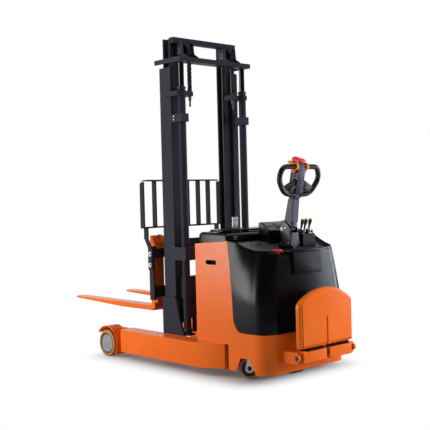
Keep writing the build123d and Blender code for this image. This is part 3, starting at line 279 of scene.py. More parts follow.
dress(ORANGE, 0.003, "left_leg", "right_leg", "body_panels", "left_fork", "right_fork")
dress(ORANGE, 0.002, "chassis_frame")
dress(MAST, 0.0025, "outer_columns", "mast_frame", "inner_mast", "mast_yoke", "lift_carriage",
      "fork_carriage", "load_backrest", "reach_cylinders", "lift_cylinders")
dress(DECK, 0.002, "deck_panel")
dress(COVER, 0.004, "console")
dress(BATTERY, 0.004, "battery")
dress(ALLOY, 0.003, "hydraulic_unit", "motor_controller")
dress(CAST, 0.003, "drive_gearbox", "drive_motor")
dress(CASTING, 0.003, "valve_block")
dress(CHROME, 0.0, "reach_rods", "tilt_plungers")
# The lift rods are chrome; their dark metal is painted shade.
dress(SHADED_CHROME, 0.0, "lift_rods")
dress(CASTING, 0.001, "chain_sheaves")
dress(STEEL, 0.001, "steer_bearing", "front_reach_rollers", "rear_reach_rollers", "upper_mast_rollers",
      "lower_mast_rollers", "upper_carriage_rollers", "lower_carriage_rollers")
dress(BLACK_TYRE, 0.0, "drive_wheel")
dress(TILLER, 0.004, "tiller_arm")


# Outlines: everything from here to the studio is drawn in millimetres in the row frame

def rect(u, v):
    return [(u[0], v[0]), (u[1], v[0]), (u[1], v[1]), (u[0], v[1])]


def arc(centre, radius, first, last, steps):
    """Points of an arc from one angle to another, in degrees."""
    angles = [math.radians(first + (last - first) * k / steps) for k in range(steps + 1)]
    return [(centre[0] + radius * math.cos(a), centre[1] + radius * math.sin(a)) for a in angles]


def circle(centre, radius, steps=32):
    return arc(centre, radius, 0, 360, steps)[:-1]


def inset(outline, depth):
    """Move an outline, drawn anticlockwise, inwards by a depth; very sharp corners move less."""
    if not depth:
        return outline
    moved = []
    for index, point in enumerate(outline):
        before, after = Vector(outline[index - 1]), Vector(outline[(index + 1) % len(outline)])
        point = Vector(point)
        first, second = (point - before).normalized(), (after - point).normalized()
        across = Vector((-first.y, first.x)) + Vector((-second.y, second.x))
        moved.append(tuple(point + across * (depth * 2 / max(across.length_squared, 0.6))))
    return moved


def cut_corner(here, back, on, reach, steps):
    """A curve around a corner; back and on lead to its neighbours, and it takes under half of each."""
    reach = min(reach, 0.49 * back.length, 0.49 * on.length)
    start, end = here + back.normalized() * reach, here + on.normalized() * reach
    shares = [k / steps for k in range(steps + 1)]
    return [(1 - t) ** 2 * start + 2 * t * (1 - t) * here + t * t * end for t in shares]


def rounded(corners, radius, steps=5):
    """Round the corners of a polygon; radius may be one number or one for each corner."""
    outline = []
    for index, corner in enumerate(corners):
        size = radius[index] if isinstance(radius, (list, tuple)) else radius
        here = Vector(corner)
        back, on = Vector(corners[index - 1]) - here, Vector(corners[(index + 1) % len(corners)]) - here
        turn = math.pi - back.angle(on)
        if size <= 0 or turn < 0.02:
            outline.append(tuple(here))
            continue
        count = max(2, round(steps * turn / (math.pi / 2)))
        outline += [tuple(point) for point in cut_corner(here, back, on, size * math.tan(turn / 2), count)]
    if sum(a[0] * b[1] - b[0] * a[1] for a, b in zip(outline, outline[1:] + outline[:1])) < 0:
        outline.reverse()
    return outline


def bent(path, radius, steps=6):
    """Round the bends of an open path in space."""
    points = [Vector(point) for point in path]
    smooth = [points[0]]
    for before, here, after in zip(points, points[1:], points[2:]):
        smooth += cut_corner(here, before - here, after - here, radius, steps)
    return smooth + [points[-1]]


def between(value, points):
    """Linear interpolation in a rising list of (position, value)."""
    for (low, first), (high, last) in zip(points, points[1:]):
        if value <= high:
            share = max(0.0, (value - low) / (high - low))
            return first + share * (last - first)
    return points[-1][1]


def to_side(side):
    """Map an outline drawn in X and Z to one side of the truck, where w runs outwards."""
    return lambda u, v, w: (u, side * w, v)


def on_slope(place, fall):
    """Map to a face that falls to the rear: u runs down it, v to the left and w out of it."""
    c, s = math.cos(fall), math.sin(fall)
    return lambda u, v, w: (place[0] - u * c - w * s, place[1] + v, place[2] - u * s + w * c)


def out_from(side, near, far):
    """A span of Y on one side of the truck."""
    return sorted((side * near, side * far))


# Pieces

MERGE_GAP = 0.000004
HEX_CORNERS = 1.732


def put(name, data):
    """Put a mesh, a lamp or a camera in the scene."""
    obj = bpy.data.objects.new(name, data)
    bpy.context.scene.collection.objects.link(obj)
    return obj


class Piece:
    """One visual piece, built up from skins that each take one of its materials."""

    def __init__(self, name, *materials):
        self.name = name
        self.materials = materials
        self.bm = bmesh.new()

    def skin(self, rings, material=0, closed=True, caps=True):
        """Join rings of points, each ring with the same count, into quads."""
        made = [[self.bm.verts.new(Vector(point) * METRES) for point in ring] for ring in rings]
        count = len(made[0])
        faces = []
        for low, high in zip(made, made[1:]):
            for step in range(count if closed else count - 1):
                after = (step + 1) % count
                faces.append(self.bm.faces.new((low[step], low[after], high[after], high[step])))
        if caps and closed:
            faces.append(self.bm.faces.new(made[0][::-1]))
            faces.append(self.bm.faces.new(made[-1]))
        for face in faces:
            face.material_index = material

    def shell(self, outline, rings, to, material=0, caps=True):
        """Skin rings of (inset, height) of an outline; to maps (u, v, height) to the row frame."""
        self.skin([[to(u, v, height) for u, v in inset(outline, depth)] for depth, height in rings], material,
                  caps=caps)

    def lathe(self, profile, place, axis, material=0, steps=40):
        """Turn a profile of (radius, height) about an axis through a place."""
        turn = UP.rotation_difference(Vector(axis))
        rings = []
        for radius, height in profile:
            rim = circle((0, 0), max(radius, 0.001), steps)
            rings.append([Vector(place) + turn @ Vector((u, v, height)) for u, v in rim])
        self.skin(rings, material)

    def prism(self, outline, low, high, to, edge=2.0, material=0, steps=3):
        """Extrude an outline from low to high, with rounded rims."""
        rings = []
        for end, sign in ((low, 1), (high, -1)):
            rim = []
            for step in range(steps + 1):
                angle = math.pi / 2 * step / steps
                rim.append((edge * (1 - math.sin(angle)), end + sign * edge * (1 - math.cos(angle))))
            rings += rim if sign > 0 else rim[::-1]
        self.shell(outline, rings, to, material)

    def box(self, x, y, z, edge=2.0, material=0, corner=None):
        """A block with rounded edges."""
        outline = rounded(rect(x, y), 1.5 * edge if corner is None else corner)
        self.prism(outline, *z, lambda u, v, w: (u, v, w), edge, material)

    def tube(self, path, radius, material=0, steps=16, flat=1.0, across=UP):
        """Sweep a round or oval section along a path; radius may be one number or one for each point."""
        points = [Vector(point) for point in path]
        rings = []
        side = Vector(across)
        for index, point in enumerate(points):
            ahead = points[min(index + 1, len(points) - 1)] - points[max(index - 1, 0)]
            ahead.normalize()
            side = (side - ahead * side.dot(ahead)).normalized()
            other = ahead.cross(side)
            size = radius[index] if isinstance(radius, (list, tuple)) else radius
            rings.append([point + size * (u * side + flat * v * other) for u, v in circle((0, 0), 1, steps)])
        self.skin(rings, material)

    def pin(self, x, z, span, radius, material=0, steps=16):
        """A round pin along Y."""
        self.tube([(x, y, z) for y in span], radius, material, steps)

    def bolt(self, place, axis, across, material=0, head=None, washer=True):
        """A hex bolt head with a chamfered top, on a washer."""
        head = head or 0.62 * across
        base = 0
        if washer:
            base = 0.12 * across
            wide = 0.98 * across
            self.lathe([(0, 0), (wide, 0), (across * 1.02, base * 0.4), (wide, base), (0, base)],
                       place, axis, material, 24)
        shape = ((1, 0), (1, 0.8), (0.93, 0.93), (0.8, 1))
        self.lathe([(scale * across / HEX_CORNERS, base + head * share) for scale, share in shape],
                   place, axis, material, 6)

    def cap_screw(self, place, axis, radius, material=0):
        """A cap screw with a chamfered head and a round socket."""
        high = 1.5 * radius
        self.lathe([(0, 0), (radius, 0), (radius, high * 0.85), (radius * 0.85, high), (radius * 0.5, high),
                    (radius * 0.45, high * 0.55), (0, high * 0.5)], place, axis, material, 18)

    def finish(self, body, *nodes, angle=SHARP_ANGLE, slot=None):
        """Turn the skins into an object that rides a body and stands for CAD nodes."""
        bmesh.ops.remove_doubles(self.bm, verts=self.bm.verts, dist=MERGE_GAP)
        bmesh.ops.dissolve_degenerate(self.bm, edges=self.bm.edges, dist=MERGE_GAP)
        bmesh.ops.recalc_face_normals(self.bm, faces=self.bm.faces)
        mesh = bpy.data.meshes.new(self.name)
        self.bm.to_mesh(mesh)
        self.bm.free()
        for material in self.materials:
            mesh.materials.append(material)
        mesh.shade_smooth()
        mesh.set_sharp_from_angle(angle=math.radians(angle))
        obj = put(self.name, mesh)
        if body is not None:
            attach(obj, body)
        if nodes:
            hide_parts(*nodes)
        return obj


# Rear cover: a lofted shell with a rolled rim, a notch for the red knob and a shallow box at the rear

COVER_LOW, COVER_HIGH = 321, 945
COVER_FOOT = [(-740, 412), (-860, 416), (-975, 417), (-1069, 394), (-1116, 290)]
COVER_SECTIONS = (
    (COVER_LOW, COVER_FOOT),
    (560, COVER_FOOT),
    (740, [(-740, 411), (-860, 406), (-975, 390), (-1060, 362), (-1107, 265)]),
    (COVER_HIGH, [(-740, 410), (-860, 397), (-975, 352), (-1045, 322), (-1090, 232)]),
)
COVER_LEVELS = (COVER_LOW, 323, 326, 330, 336, 344, 356, 366, 376, 388, 401, 430, 470, 515, 560, 600, 650,
                700, 740, 780, 820, 860, 900, COVER_HIGH)
COVER_SHARES = (0, 0.004, 0.009, 0.016, 0.027, 0.042, 0.064, 0.082, 0.1, 0.122, 0.145, 0.2, 0.27, 0.34, 0.41,
                0.48, 0.55, 0.62, 0.69, 0.76, 0.83, 0.9, 0.95, 1)
COVER_COLUMNS = 96
SEAM = [(323, -860), (332, -840), (356, -817), (376, -806), (401, -799), (536, -790), (671, -780),
        (806, -770), (934, -755)]
SEAM_LAP = 3
RIM = {LEFT: [(740, 937), (833, 928), (896, 896), (973, 872), (1130, 868)],
       RIGHT: [(740, 942), (833, 942), (896, 915), (973, 889), (1050, 872), (1130, 868)]}
RIM_HIGH = 7
RIM_ROLL = ((0.7, 3.5), (2.4, 6), (5, RIM_HIGH), (7.6, 6), (9.3, 3.5), (10, 0), (10, -26))
HEM, FOOT_LIP = 6, 5
NOTCH_X, NOTCH_Z = -960, 838
REAR_CROWN, CROWN_REACH = 11, 110
FLANK_STEPS, REAR_STEPS = 14, 30


def flank(level):
    """The left half of the cover's plan at a level, from the front to the middle of the rear."""
    corners = [Vector([between(level, [(z, plan[k][axis]) for z, plan in COVER_SECTIONS]) for axis in (0, 1)])
               for k in range(len(COVER_FOOT))]
    tangents = [(after - before) / 2 for before, after in zip(corners, corners[2:])]
    tangents = [Vector((-120, 0))] + tangents + [Vector((0, -114))]
    path = []
    for k in range(len(corners) - 1):
        for step in range(FLANK_STEPS):
            t = step / FLANK_STEPS
            path.append((2 * t**3 - 3 * t**2 + 1) * corners[k] + (t**3 - 2 * t**2 + t) * tangents[k]
                        + (3 * t**2 - 2 * t**3) * corners[k + 1] + (t**3 - t**2) * tangents[k + 1])
    rear = corners[-1]
    path += [Vector((rear.x, rear.y * (1 - k / REAR_STEPS))) for k in range(REAR_STEPS + 1)]
    crown = between(level, [(400, 0), (560, REAR_CROWN), (COVER_HIGH, REAR_CROWN)])
    for point in path:
        near = max(0.0, min(1.0, 1 - (point.x - rear.x) / CROWN_REACH))
        point.x += crown * min(1.0, point.y / rear.y) ** 2 * near
    return path


def cover_points(level, shares):
    """Points at shares of the way from the seam to the middle of the rear."""
    start = between(level, SEAM) - SEAM_LAP
    path = flank(level)
    first = next(k for k, point in enumerate(path) if point.x < start)
    before = path[first - 1]
    slide = (start - before.x) / (path[first].x - before.x)
    path = [before.lerp(path[first], slide)] + path[first:]
    lengths = [0.0]
    for one, two in zip(path, path[1:]):
        lengths.append(lengths[-1] + (two - one).length)
    points = []
    index = 0
    for share in shares:
        target = share * lengths[-1]
        while index < len(path) - 2 and lengths[index + 1] < target:
            index += 1
        step = (target - lengths[index]) / (lengths[index + 1] - lengths[index])
        points.append(path[index].lerp(path[index + 1], min(1.0, step)))
    return points


def rear_cover():
    piece = Piece("cover_shell", COVER, TRAY, DECK)
    columns = range(COVER_COLUMNS + 1)
    plans = {level: cover_points(level, [k / COVER_COLUMNS for k in columns]) for level in COVER_LEVELS}

    def at(column, level):
        """A point of the left flank, in plan."""
        upper = next(k for k, value in enumerate(COVER_LEVELS) if value >= level)
        low, high = COVER_LEVELS[max(0, upper - 1)], COVER_LEVELS[upper]
        share = (level - low) / (high - low) if high > low else 0.0
        return plans[low][column].lerp(plans[high][column], share)

    def rim_level(column, side):
        """The rim's height, found by a few rounds because the flank leans; the left one has the notch."""
        top = 900.0
        for _ in range(6):
            top = between(-at(column, top).x, RIM[side])
        place = at(column, top)
        if side == LEFT and place.x < NOTCH_X:
            notch = [(0, top), (148, top), (153, NOTCH_Z), (236, NOTCH_Z), (262, 853), (290, top)]
            top = min(top, between(place.y, notch))
        return top

    for side in (LEFT, RIGHT):
        rims = [rim_level(column, side) for column in columns]
        rows = []
        for share in COVER_SHARES:
            row = []
            for column in columns:
                level = COVER_LOW + share * (rims[column] - RIM_HIGH - COVER_LOW)
                point = at(column, level)
                row.append(Vector((point.x, side * point.y, level)))
            rows.append(row)
        foot, crest = rows[0], rows[-1]
        hem = [row[0] for row in rows[:-1]]
        inward = []
        for column in columns:
            run = crest[min(column + 1, COVER_COLUMNS)] - crest[max(column - 1, 0)]
            inward.append(Vector((-side * run.y, side * run.x, 0)).normalized())
        for depth, rise in RIM_ROLL:
            rows.append([crest[k] + depth * inward[k] + rise * UP for k in columns])
        piece.skin(rows[:-1], closed=False)
        piece.skin(rows[-2:], 2, closed=False)
        piece.skin([hem, [point + Vector((0, -side * HEM, 0)) for point in hem]], closed=False)
        piece.skin([foot, [foot[k] + FOOT_LIP * inward[k] for k in columns]], closed=False)
    box_low, box_high, box_half, box_lean = 705, 853, 145, 10
    lean = box_lean / (box_high - box_low)
    outline = rounded(rect((-box_half, box_half), (box_low, box_high)), (14, 14, 10, 10))
    piece.prism(outline, 1058, 1109, lambda u, v, w: (-w - lean * (box_high - v), u, v), 5, 1)
    for x, y in (((-1085, -968), (252, 256)), ((-1085, -968), (144, 148)), ((-971, -967), (148, 252))):
        piece.box(x, y, (806, 856), 1)
    piece.box((-1094, -968), (145, 255), (820, 826), 1)
    piece.finish("chassis", "rear_cover", angle=40, slot="cover_plastic")


# Battery lid and battery

LID_REAR, LID_FRONT, LID_HALF = -746, -434, 400
LID_TOP, LID_DEEP = 1000, 74
LID_CROWN, LID_NOSE, LID_SLOPE = 4, 18, 28
NOSE_X, SLOPE_X = -540, -690
HINGE_X, HINGE_Z, HINGE_IN, HINGE_OUT = -427, 909, 240.5, 280.5
LATCH_X, LATCH_Z = -752, 958


def lid(u, v, w):
    """A point of the lid over its plan, where w runs from its lower edge up to LID_DEEP at its top."""
    base = between(-u, [(-LID_FRONT, 912), (-LID_REAR, 935)])
    front = max(0.0, (u - NOSE_X) / (LID_FRONT - NOSE_X))
    rear = max(0.0, (SLOPE_X - u) / (SLOPE_X - LID_REAR))
    top = LID_TOP - LID_CROWN * (v / LID_HALF) ** 2 - LID_NOSE * front ** 2.2 - LID_SLOPE * rear
    return u, v, base + (top - base) * w / LID_DEEP


def battery_lid():
    piece = Piece("lid_shell", COVER, STEEL)
    plan = rounded(rect((LID_REAR, LID_FRONT), (-LID_HALF, LID_HALF)), (26, 48, 48, 26), 8)
    shell = [(14, 66), (6, 58), (6, 0), (0, 0), (0, 30)] + arc((22, 52), 22, 180, 90, 7)
    piece.shell(plan, shell, lid)
    piece.prism(rounded(rect((-688, -520), (-376, 376)), (24, 60, 60, 24), 8), 68, 84, lid, 6, 0, 4)
    for y in (-260, -90, 90, 260):
        piece.box((-728, -452), (y - 3, y + 3), (945, 966), 1)
    for side in (LEFT, RIGHT):
        piece.pin(HINGE_X, HINGE_Z, (side * HINGE_IN, side * HINGE_OUT), 6)
        piece.box((-440, HINGE_X), out_from(side, HINGE_IN, HINGE_OUT), (911.5, 915), 0.8)
        piece.box((-751, -744), out_from(side, 306, 344), (938, 962), 1.5, 1)
        piece.pin(LATCH_X, LATCH_Z, (side * 316, side * 334), 3.5, 1)
    piece.finish("battery_lid", "battery_lid", angle=40, slot="cover_plastic")


def battery():
    piece = Piece("battery_fittings", KNOB, RED, YELLOW, PAINTED_SHADE)
    # Near-black sheets in the gaps along the lid's sides and at its rear: painted shade in those gaps.
    for side in (LEFT, RIGHT):
        piece.prism([(-742, 880), (-440, 860), (-440, 909), (-742, 932)], 384, 391, to_side(side), 1, 3)
    piece.box((-738, -732), (-391, 391), (880, 944), 1, 3)
    cells, cell_pitch, cell_z = 6, 104, 884
    plug = [(0, cell_z), (17, cell_z), (17, 892), (14, 895), (6, 896), (0, 896)]
    for x in (-680, -620, -555, -495):
        for column in range(cells):
            y = -260 + cell_pitch * column
            piece.lathe(plug, (x, y, 0), UP, 2, 20)
            if column < cells - 1:
                piece.box((x + 20, x + 34), (y + 8, y + 96), (cell_z, 891), 2)
    for y, material in ((-300, 1), (300, 0)):
        lead = [(-660, y, 893), (-610, y, 905), (-560, y, 905), (-500, y * 0.92, 897), (-470, y * 0.86, 889)]
        piece.tube(bent(lead, 30), 8, material, 12)
    piece.finish("chassis")


# Deck and console

STEER_X = -955
DECK_HANDLE, DECK_FALL = (-846, 226, 908.4), math.atan2(915 - 883, 63)
PANEL_MIDDLE, PANEL_FALL = (-824.5, 0, 1019), math.atan2(1050 - 988, 868 - 781)


def deck_details():
    piece = Piece("deck_handle", KNOB, ZINC)
    on_deck = on_slope(DECK_HANDLE, DECK_FALL)
    oval = rounded(rect((-19, 19), (-46, 46)), 19, 10)
    lip = [(0, -3), (0, 1.2), (0.8, 2.4), (2.2, 3), (3.8, 2.4), (4.6, 0.4), (5, -9), (8, -12)]
    piece.shell(oval, lip, on_deck)
    bar = []
    for t in (k / 12 for k in range(13)):
        bow = math.sin(t * math.pi)
        bar.append(on_deck(-3 + 4 * bow, -30 + 60 * t, -1 + 3.4 * bow))
    piece.tube(bar, 2.8, 1, 12)
    gaiter = [(82, 864), (79, 866), (70, 865), (66, 858), (62, 864), (58, 857), (52, 860), (47, 844)]
    piece.lathe(gaiter, (STEER_X, 0, 0), UP, 0, 48)
    piece.finish("chassis")


def console():
    piece = Piece("console_display", KNOB, GLASS, CONSOLE, STEEL)
    on_face = on_slope(PANEL_MIDDLE, PANEL_FALL)

    def panel(half_u, half_v, middle_v, corner, low, high, edge, material):
        outline = rounded(rect((-half_u, half_u), (middle_v - half_v, middle_v + half_v)), corner)
        piece.prism(outline, low, high, on_face, edge, material)

    panel(44, 96, 0, 10, -2, 2.6, 1.4, 2)
    panel(31, 46, -30, 5, 2, 4, 1, 0)
    panel(27, 42, -30, 4, 3, 4.6, 0.5, 1)
    for v in (38, 58, 78):
        panel(8, 7, v, 4, 2, 5, 1.4, 0)
    outwards = Vector(on_face(0, 0, 1)) - Vector(on_face(0, 0, 0))
    for v in (-92, 92):
        piece.cap_screw(on_face(36, v, 1.5), outwards, 3.4, 3)
    piece.finish("chassis")


# Tiller

TILLER_X, TILLER_Z = -959, 1004
HEAD_ROOT = Vector((-1025, 0, 1212))
HEAD_UP, HEAD_FORWARD = Vector((-0.2045, 0, 0.9789)), Vector((0.9789, 0, 0.2045))
GRIP_S = 221
DOME_HALF, DOME_LOW, DOME_SPRING, DOME_RISE = 36, 250, 262, 18


def head(y, s, n):
    """A point of the tiller head: y to the left, s up its length, n to the front."""
    return HEAD_ROOT + Vector((0, y, 0)) + s * HEAD_UP + n * HEAD_FORWARD


def behind_head(y, s, n):
    return head(y, s, -n)


def oval_ring(half, low, high, s):
    """A section of the head: a rectangle with very round corners."""
    ring = []
    for c, d in circle((0, 0), 1, 40):
        y = half * math.copysign(abs(c) ** 0.5, c)
        n = (low + high) / 2 + (high - low) / 2 * math.copysign(abs(d) ** 0.5, d)
        ring.append(head(y, s, n))
    return ring


def tiller_head():
    piece = Piece("tiller_head_shell", GRIP, TILLER, KNOB, POD)
    sections = [(29, -2, 42, -14), (31, -8, 50, -2), (33, -12, 56, 14), (35, -15, 60, 34), (36, -16, 62, 54),
                (36, -16, 62, 120), (36, -16, 62, 200), (36, -16, 62, 226), (35, -15, 61, 234),
                (32, -12, 58, 239), (25, -5, 51, 240.5)]
    piece.skin([oval_ring(*section) for section in sections], 3)

    def rear(u, v, w):
        """The head's rear face, where w runs out of it."""
        low = between(v, [(-2, -8), (14, -12), (34, -15), (54, -16), (226, -16), (234, -15)])
        return head(u, v, low - w)

    def shield(low, low_half, half, shoulder, top, top_half):
        right = [(low_half, low), (half, 50), (half, shoulder), (top_half, top)]
        return rounded([(-low_half, low)] + right + [(-u, v) for u, v in right[:0:-1]], 8)

    piece.prism(shield(2, 27, 35, 200, 234, 29), -2.6, 2.4, rear, 1.2, 1)
    # A black shield, a little larger than the strip and sunk into the pod: painted shade around the strip's
    # edge.
    piece.prism(shield(0, 29, 36.5, 201, 236, 31), -14, 0.8, rear, 0.4, 2)
    for side in (LEFT, RIGHT):
        loop = [head(side * y, s, 0) for y, s in ((20, 222), (178, 218), (204, 135), (132, 32), (22, 24))]
        piece.tube(bent(loop, 62, 9), 19, 0, 20, 0.95, (1, 0, 0))
        web = [(side * 28, 22), (side * 28, 140), (side * 60, 122), (side * 156, 78), (side * 140, 34)]
        piece.prism(rounded(web, 6), -9, 9, head, 3, 3)
        rocker = [(side * 46, 96), (side * 92, 74), (side * 100, 58), (side * 84, 48), (side * 44, 72)]
        piece.prism(rounded(rocker, 9), 7, 17, behind_head, 3.5, 2)
        piece.prism(circle((side * 112, 54), 9, 20), 7, 12, behind_head, 2, 2)
    piece.prism(rounded(rect((-31, 31), (-10, 56)), 10), 236, 252, lambda u, v, w: head(u, w, v), 1.5, 2)
    piece.finish("tiller", "tiller_head", slot="tiller_plastic")

    piece = Piece("throttle_wings", YELLOW)
    for side in (LEFT, RIGHT):
        rings = []
        for radius, y in ((19, 38), (25, 38), (26, 39), (26, 61), (25, 62), (19, 62), (19, 38)):
            rings.append([head(side * y, s, n) for s, n in circle((GRIP_S, 0), radius)])
        piece.skin(rings, caps=False)
        for (s, n), half, lean in (((16, 34), 28, math.radians(70)), ((-28, 8), 19, math.radians(-20))):
            c, d = math.cos(lean), math.sin(lean)
            wing = rounded(rect((-half, half), (-7.5, 7.5)), 7)
            outline = [(GRIP_S + s + u * c - v * d, n + u * d + v * c) for u, v in wing]
            piece.prism(outline, 39, 71, lambda u, v, w: head(side * w, u, v), 3)
    piece.finish("throttle", "throttle_paddles", slot="yellow_plastic")

    piece = Piece("belly_dome", RED)
    arch = [(DOME_HALF * c, DOME_SPRING + DOME_RISE * d) for c, d in arc((0, 0), 1, 0, 180, 24)]

    def dome(u, v, w):
        """The dome's outline, lower at its rear than at its front."""
        lift = between(w, [(-15, -7), (30, 2), (61, 3)])
        return head(u, v + (v - DOME_LOW) / (DOME_SPRING + DOME_RISE - DOME_LOW) * lift, w)

    piece.prism([(-DOME_HALF, DOME_LOW), (DOME_HALF, DOME_LOW)] + arch, -15, 61, dome, 8, 0, 6)
    piece.finish("belly_button", "belly_button", angle=50, slot="red_plastic")


def tiller_base():
    piece = Piece("tiller_stock", BRACKET, TILLER, STEEL)
    cheek = rounded([(-908, 876), (-897, 980), (-899, 1029), (-928, 1067), (-987, 1026), (-995, 981),
                     (-1006, 892)], (4, 20, 16, 10, 16, 20, 4))
    pivot_cap = [(0, 43), (10.5, 43), (11, 45), (10, 48), (7, 50.5), (0, 51.4)]
    for side in (LEFT, RIGHT):
        out = (0, side, 0)
        piece.box((-995, -915), out_from(side, 90, 102), (352, 712), 3)
        piece.prism(cheek, 36, 44, to_side(side), 1.6)
        piece.lathe(pivot_cap, (TILLER_X, 0, TILLER_Z), out, 2, 28)
        piece.bolt((-921, side * 44, 1001), out, 11, 2, 5)
        for x, z in ((-985, 905), (-915, 900)):
            piece.cap_screw((x, side * 43.5, z), out, 5, 2)
    piece.box((-995, -915), (-102, 102), (700, 715), 3)
    piece.lathe([(38, 712), (38, 884), (33, 889)], (STEER_X, 0, 0), UP, 0, 40)
    piece.box((-1003, -900), (-36, 36), (882, 976), 5, 1, 7)
    piece.pin(TILLER_X, TILLER_Z, (-44, 44), 9.6, 2)
    piece.finish("drive_unit", "tiller_base", slot="bracket_paint")

    piece = Piece("tiller_boot", KNOB)
    folds, half = 14, 33.5
    drum = [(27 if k % 2 else 25.6, -half + 2 * half * k / folds) for k in range(folds + 1)]
    piece.lathe([(0, -half)] + drum + [(0, half)], (TILLER_X, 0, TILLER_Z), (0, 1, 0), 0, 40)
    flap = rounded([(-1001, 1047), (-1001, 1013), (-984, 1006), (-940, 1006), (-934, 1047)], 4)
    piece.prism(flap, -32, 32, to_side(LEFT), 2)
    piece.finish("tiller")


# Levers, key and stop knob

LEVER_X, LEVER_Z = -913, 969
LEVERS = (("lift_lever", -158), ("reach_lever", -194), ("tilt_lever", -240))
LEVER_LEAN = Vector((-0.1719, -0.1371, 0.9752))
STICK = ((4, 5.4), (12, 5.6), (30, 6.4), (48, 7.6), (58, 10), (66, 11.8), (76, 13), (84, 13.8), (90, 13.4))
STICK_TIP = ((89, 13), (91, 13.2), (94, 12.6), (96.5, 10.4), (97.6, 6))
KEY_X, KEY_Y, KEY_Z = -957, -207, 976
STOP_PLACE = (-1023, 200, 0)
REARWARDS = (-1, 0, 0)


def controls():
    for name, y in LEVERS:
        piece = Piece(f"{name}_stick", KNOB, LEVER_TIP, STEEL)
        for half, radius, steps in ((9, 9, 16), (14, 4, 12)):
            piece.pin(LEVER_X, LEVER_Z, (y - half, y + half), radius, 2, steps)
        root = Vector((LEVER_X, y, LEVER_Z))
        for material, profile in enumerate((STICK, STICK_TIP)):
            path = [root + LEVER_LEAN * step for step, _ in profile]
            piece.tube(path, [radius for _, radius in profile], material, 18)
        piece.finish(name, name, slot="lever_plastic")
    piece = Piece("lever_boots", KNOB, STEEL, CHROME)
    boot = [(20, 957), (20, 960), (16, 962), (17.5, 964), (14, 966), (13, 967)]
    for _, y in LEVERS:
        piece.lathe(boot, (LEVER_X, y, 0), UP, 0, 24)
    for x, y in ((-950, -150), (-950, -250), (-876, -150), (-876, -255), (-876, -212)):
        piece.cap_screw((x, y, 957.5), UP, 5.5, 1)
    collar = [(16, 0), (20, 0), (20.5, 3), (19, 5), (16.5, 5), (16, 3), (16, 0)]
    piece.lathe(collar, (KEY_X + 1, KEY_Y, KEY_Z), REARWARDS, 2, 28)
    piece.finish("chassis")

    piece = Piece("ignition_key", CHROME, KNOB, STEEL)
    piece.lathe([(0, 0), (14.4, 0), (14.8, 1.5), (13.8, 4), (9, 5), (8.6, 3.6), (0, 3.4)],
                (KEY_X, KEY_Y, KEY_Z), REARWARDS, 0, 32)
    piece.lathe([(8, 0), (8, 20)], (KEY_X - 1, KEY_Y, KEY_Z), (1, 0, 0), 2, 24)
    piece.box((-974, -960), (KEY_Y - 1.4, KEY_Y + 1.4), (KEY_Z - 6.5, KEY_Z + 6.5), 0.6, 0)
    bow = rounded([(-986, KEY_Z - 12), (-972, KEY_Z - 10), (-972, KEY_Z + 10), (-986, KEY_Z + 12)], 6)
    piece.prism(bow, KEY_Y - 2.6, KEY_Y + 2.6, to_side(LEFT), 1.6, 1)
    piece.finish("key_switch", "key_switch", slot="bright_steel")

    piece = Piece("stop_mushroom", RED)
    mushroom = [(0, 812), (11, 812), (11, 848), (12, 853), (22, 854), (32, 855), (34, 858), (34, 863),
                (32, 868.5), (27, 871.6), (18, 872.8), (0, 873)]
    piece.lathe(mushroom, STOP_PLACE, UP, 0, 44)
    piece.finish("stop_knob", "stop_knob", slot="red_plastic")
    piece = Piece("stop_collar", KNOB)
    piece.lathe([(14, 824), (24, 826), (24, 830), (21, 832), (17, 832), (13.5, 829)], STOP_PLACE, UP, 0, 36)
    piece.finish("chassis")


# Platform, folded up as in the photograph

PLATE_X, PLATE_HALF, PLATE_LOW, PLATE_SIDE = -1234, 268, 231, 523
ARCH_Z, ARCH_R, ARCH_HALF, ARCH_STEPS = 188, 429, 220, 10
FOLD_X, FOLD_Z = -1256, 178
COIL_R, COIL_HALF, COIL_TURNS, TURN_STEPS = 17, 12, 5, 24


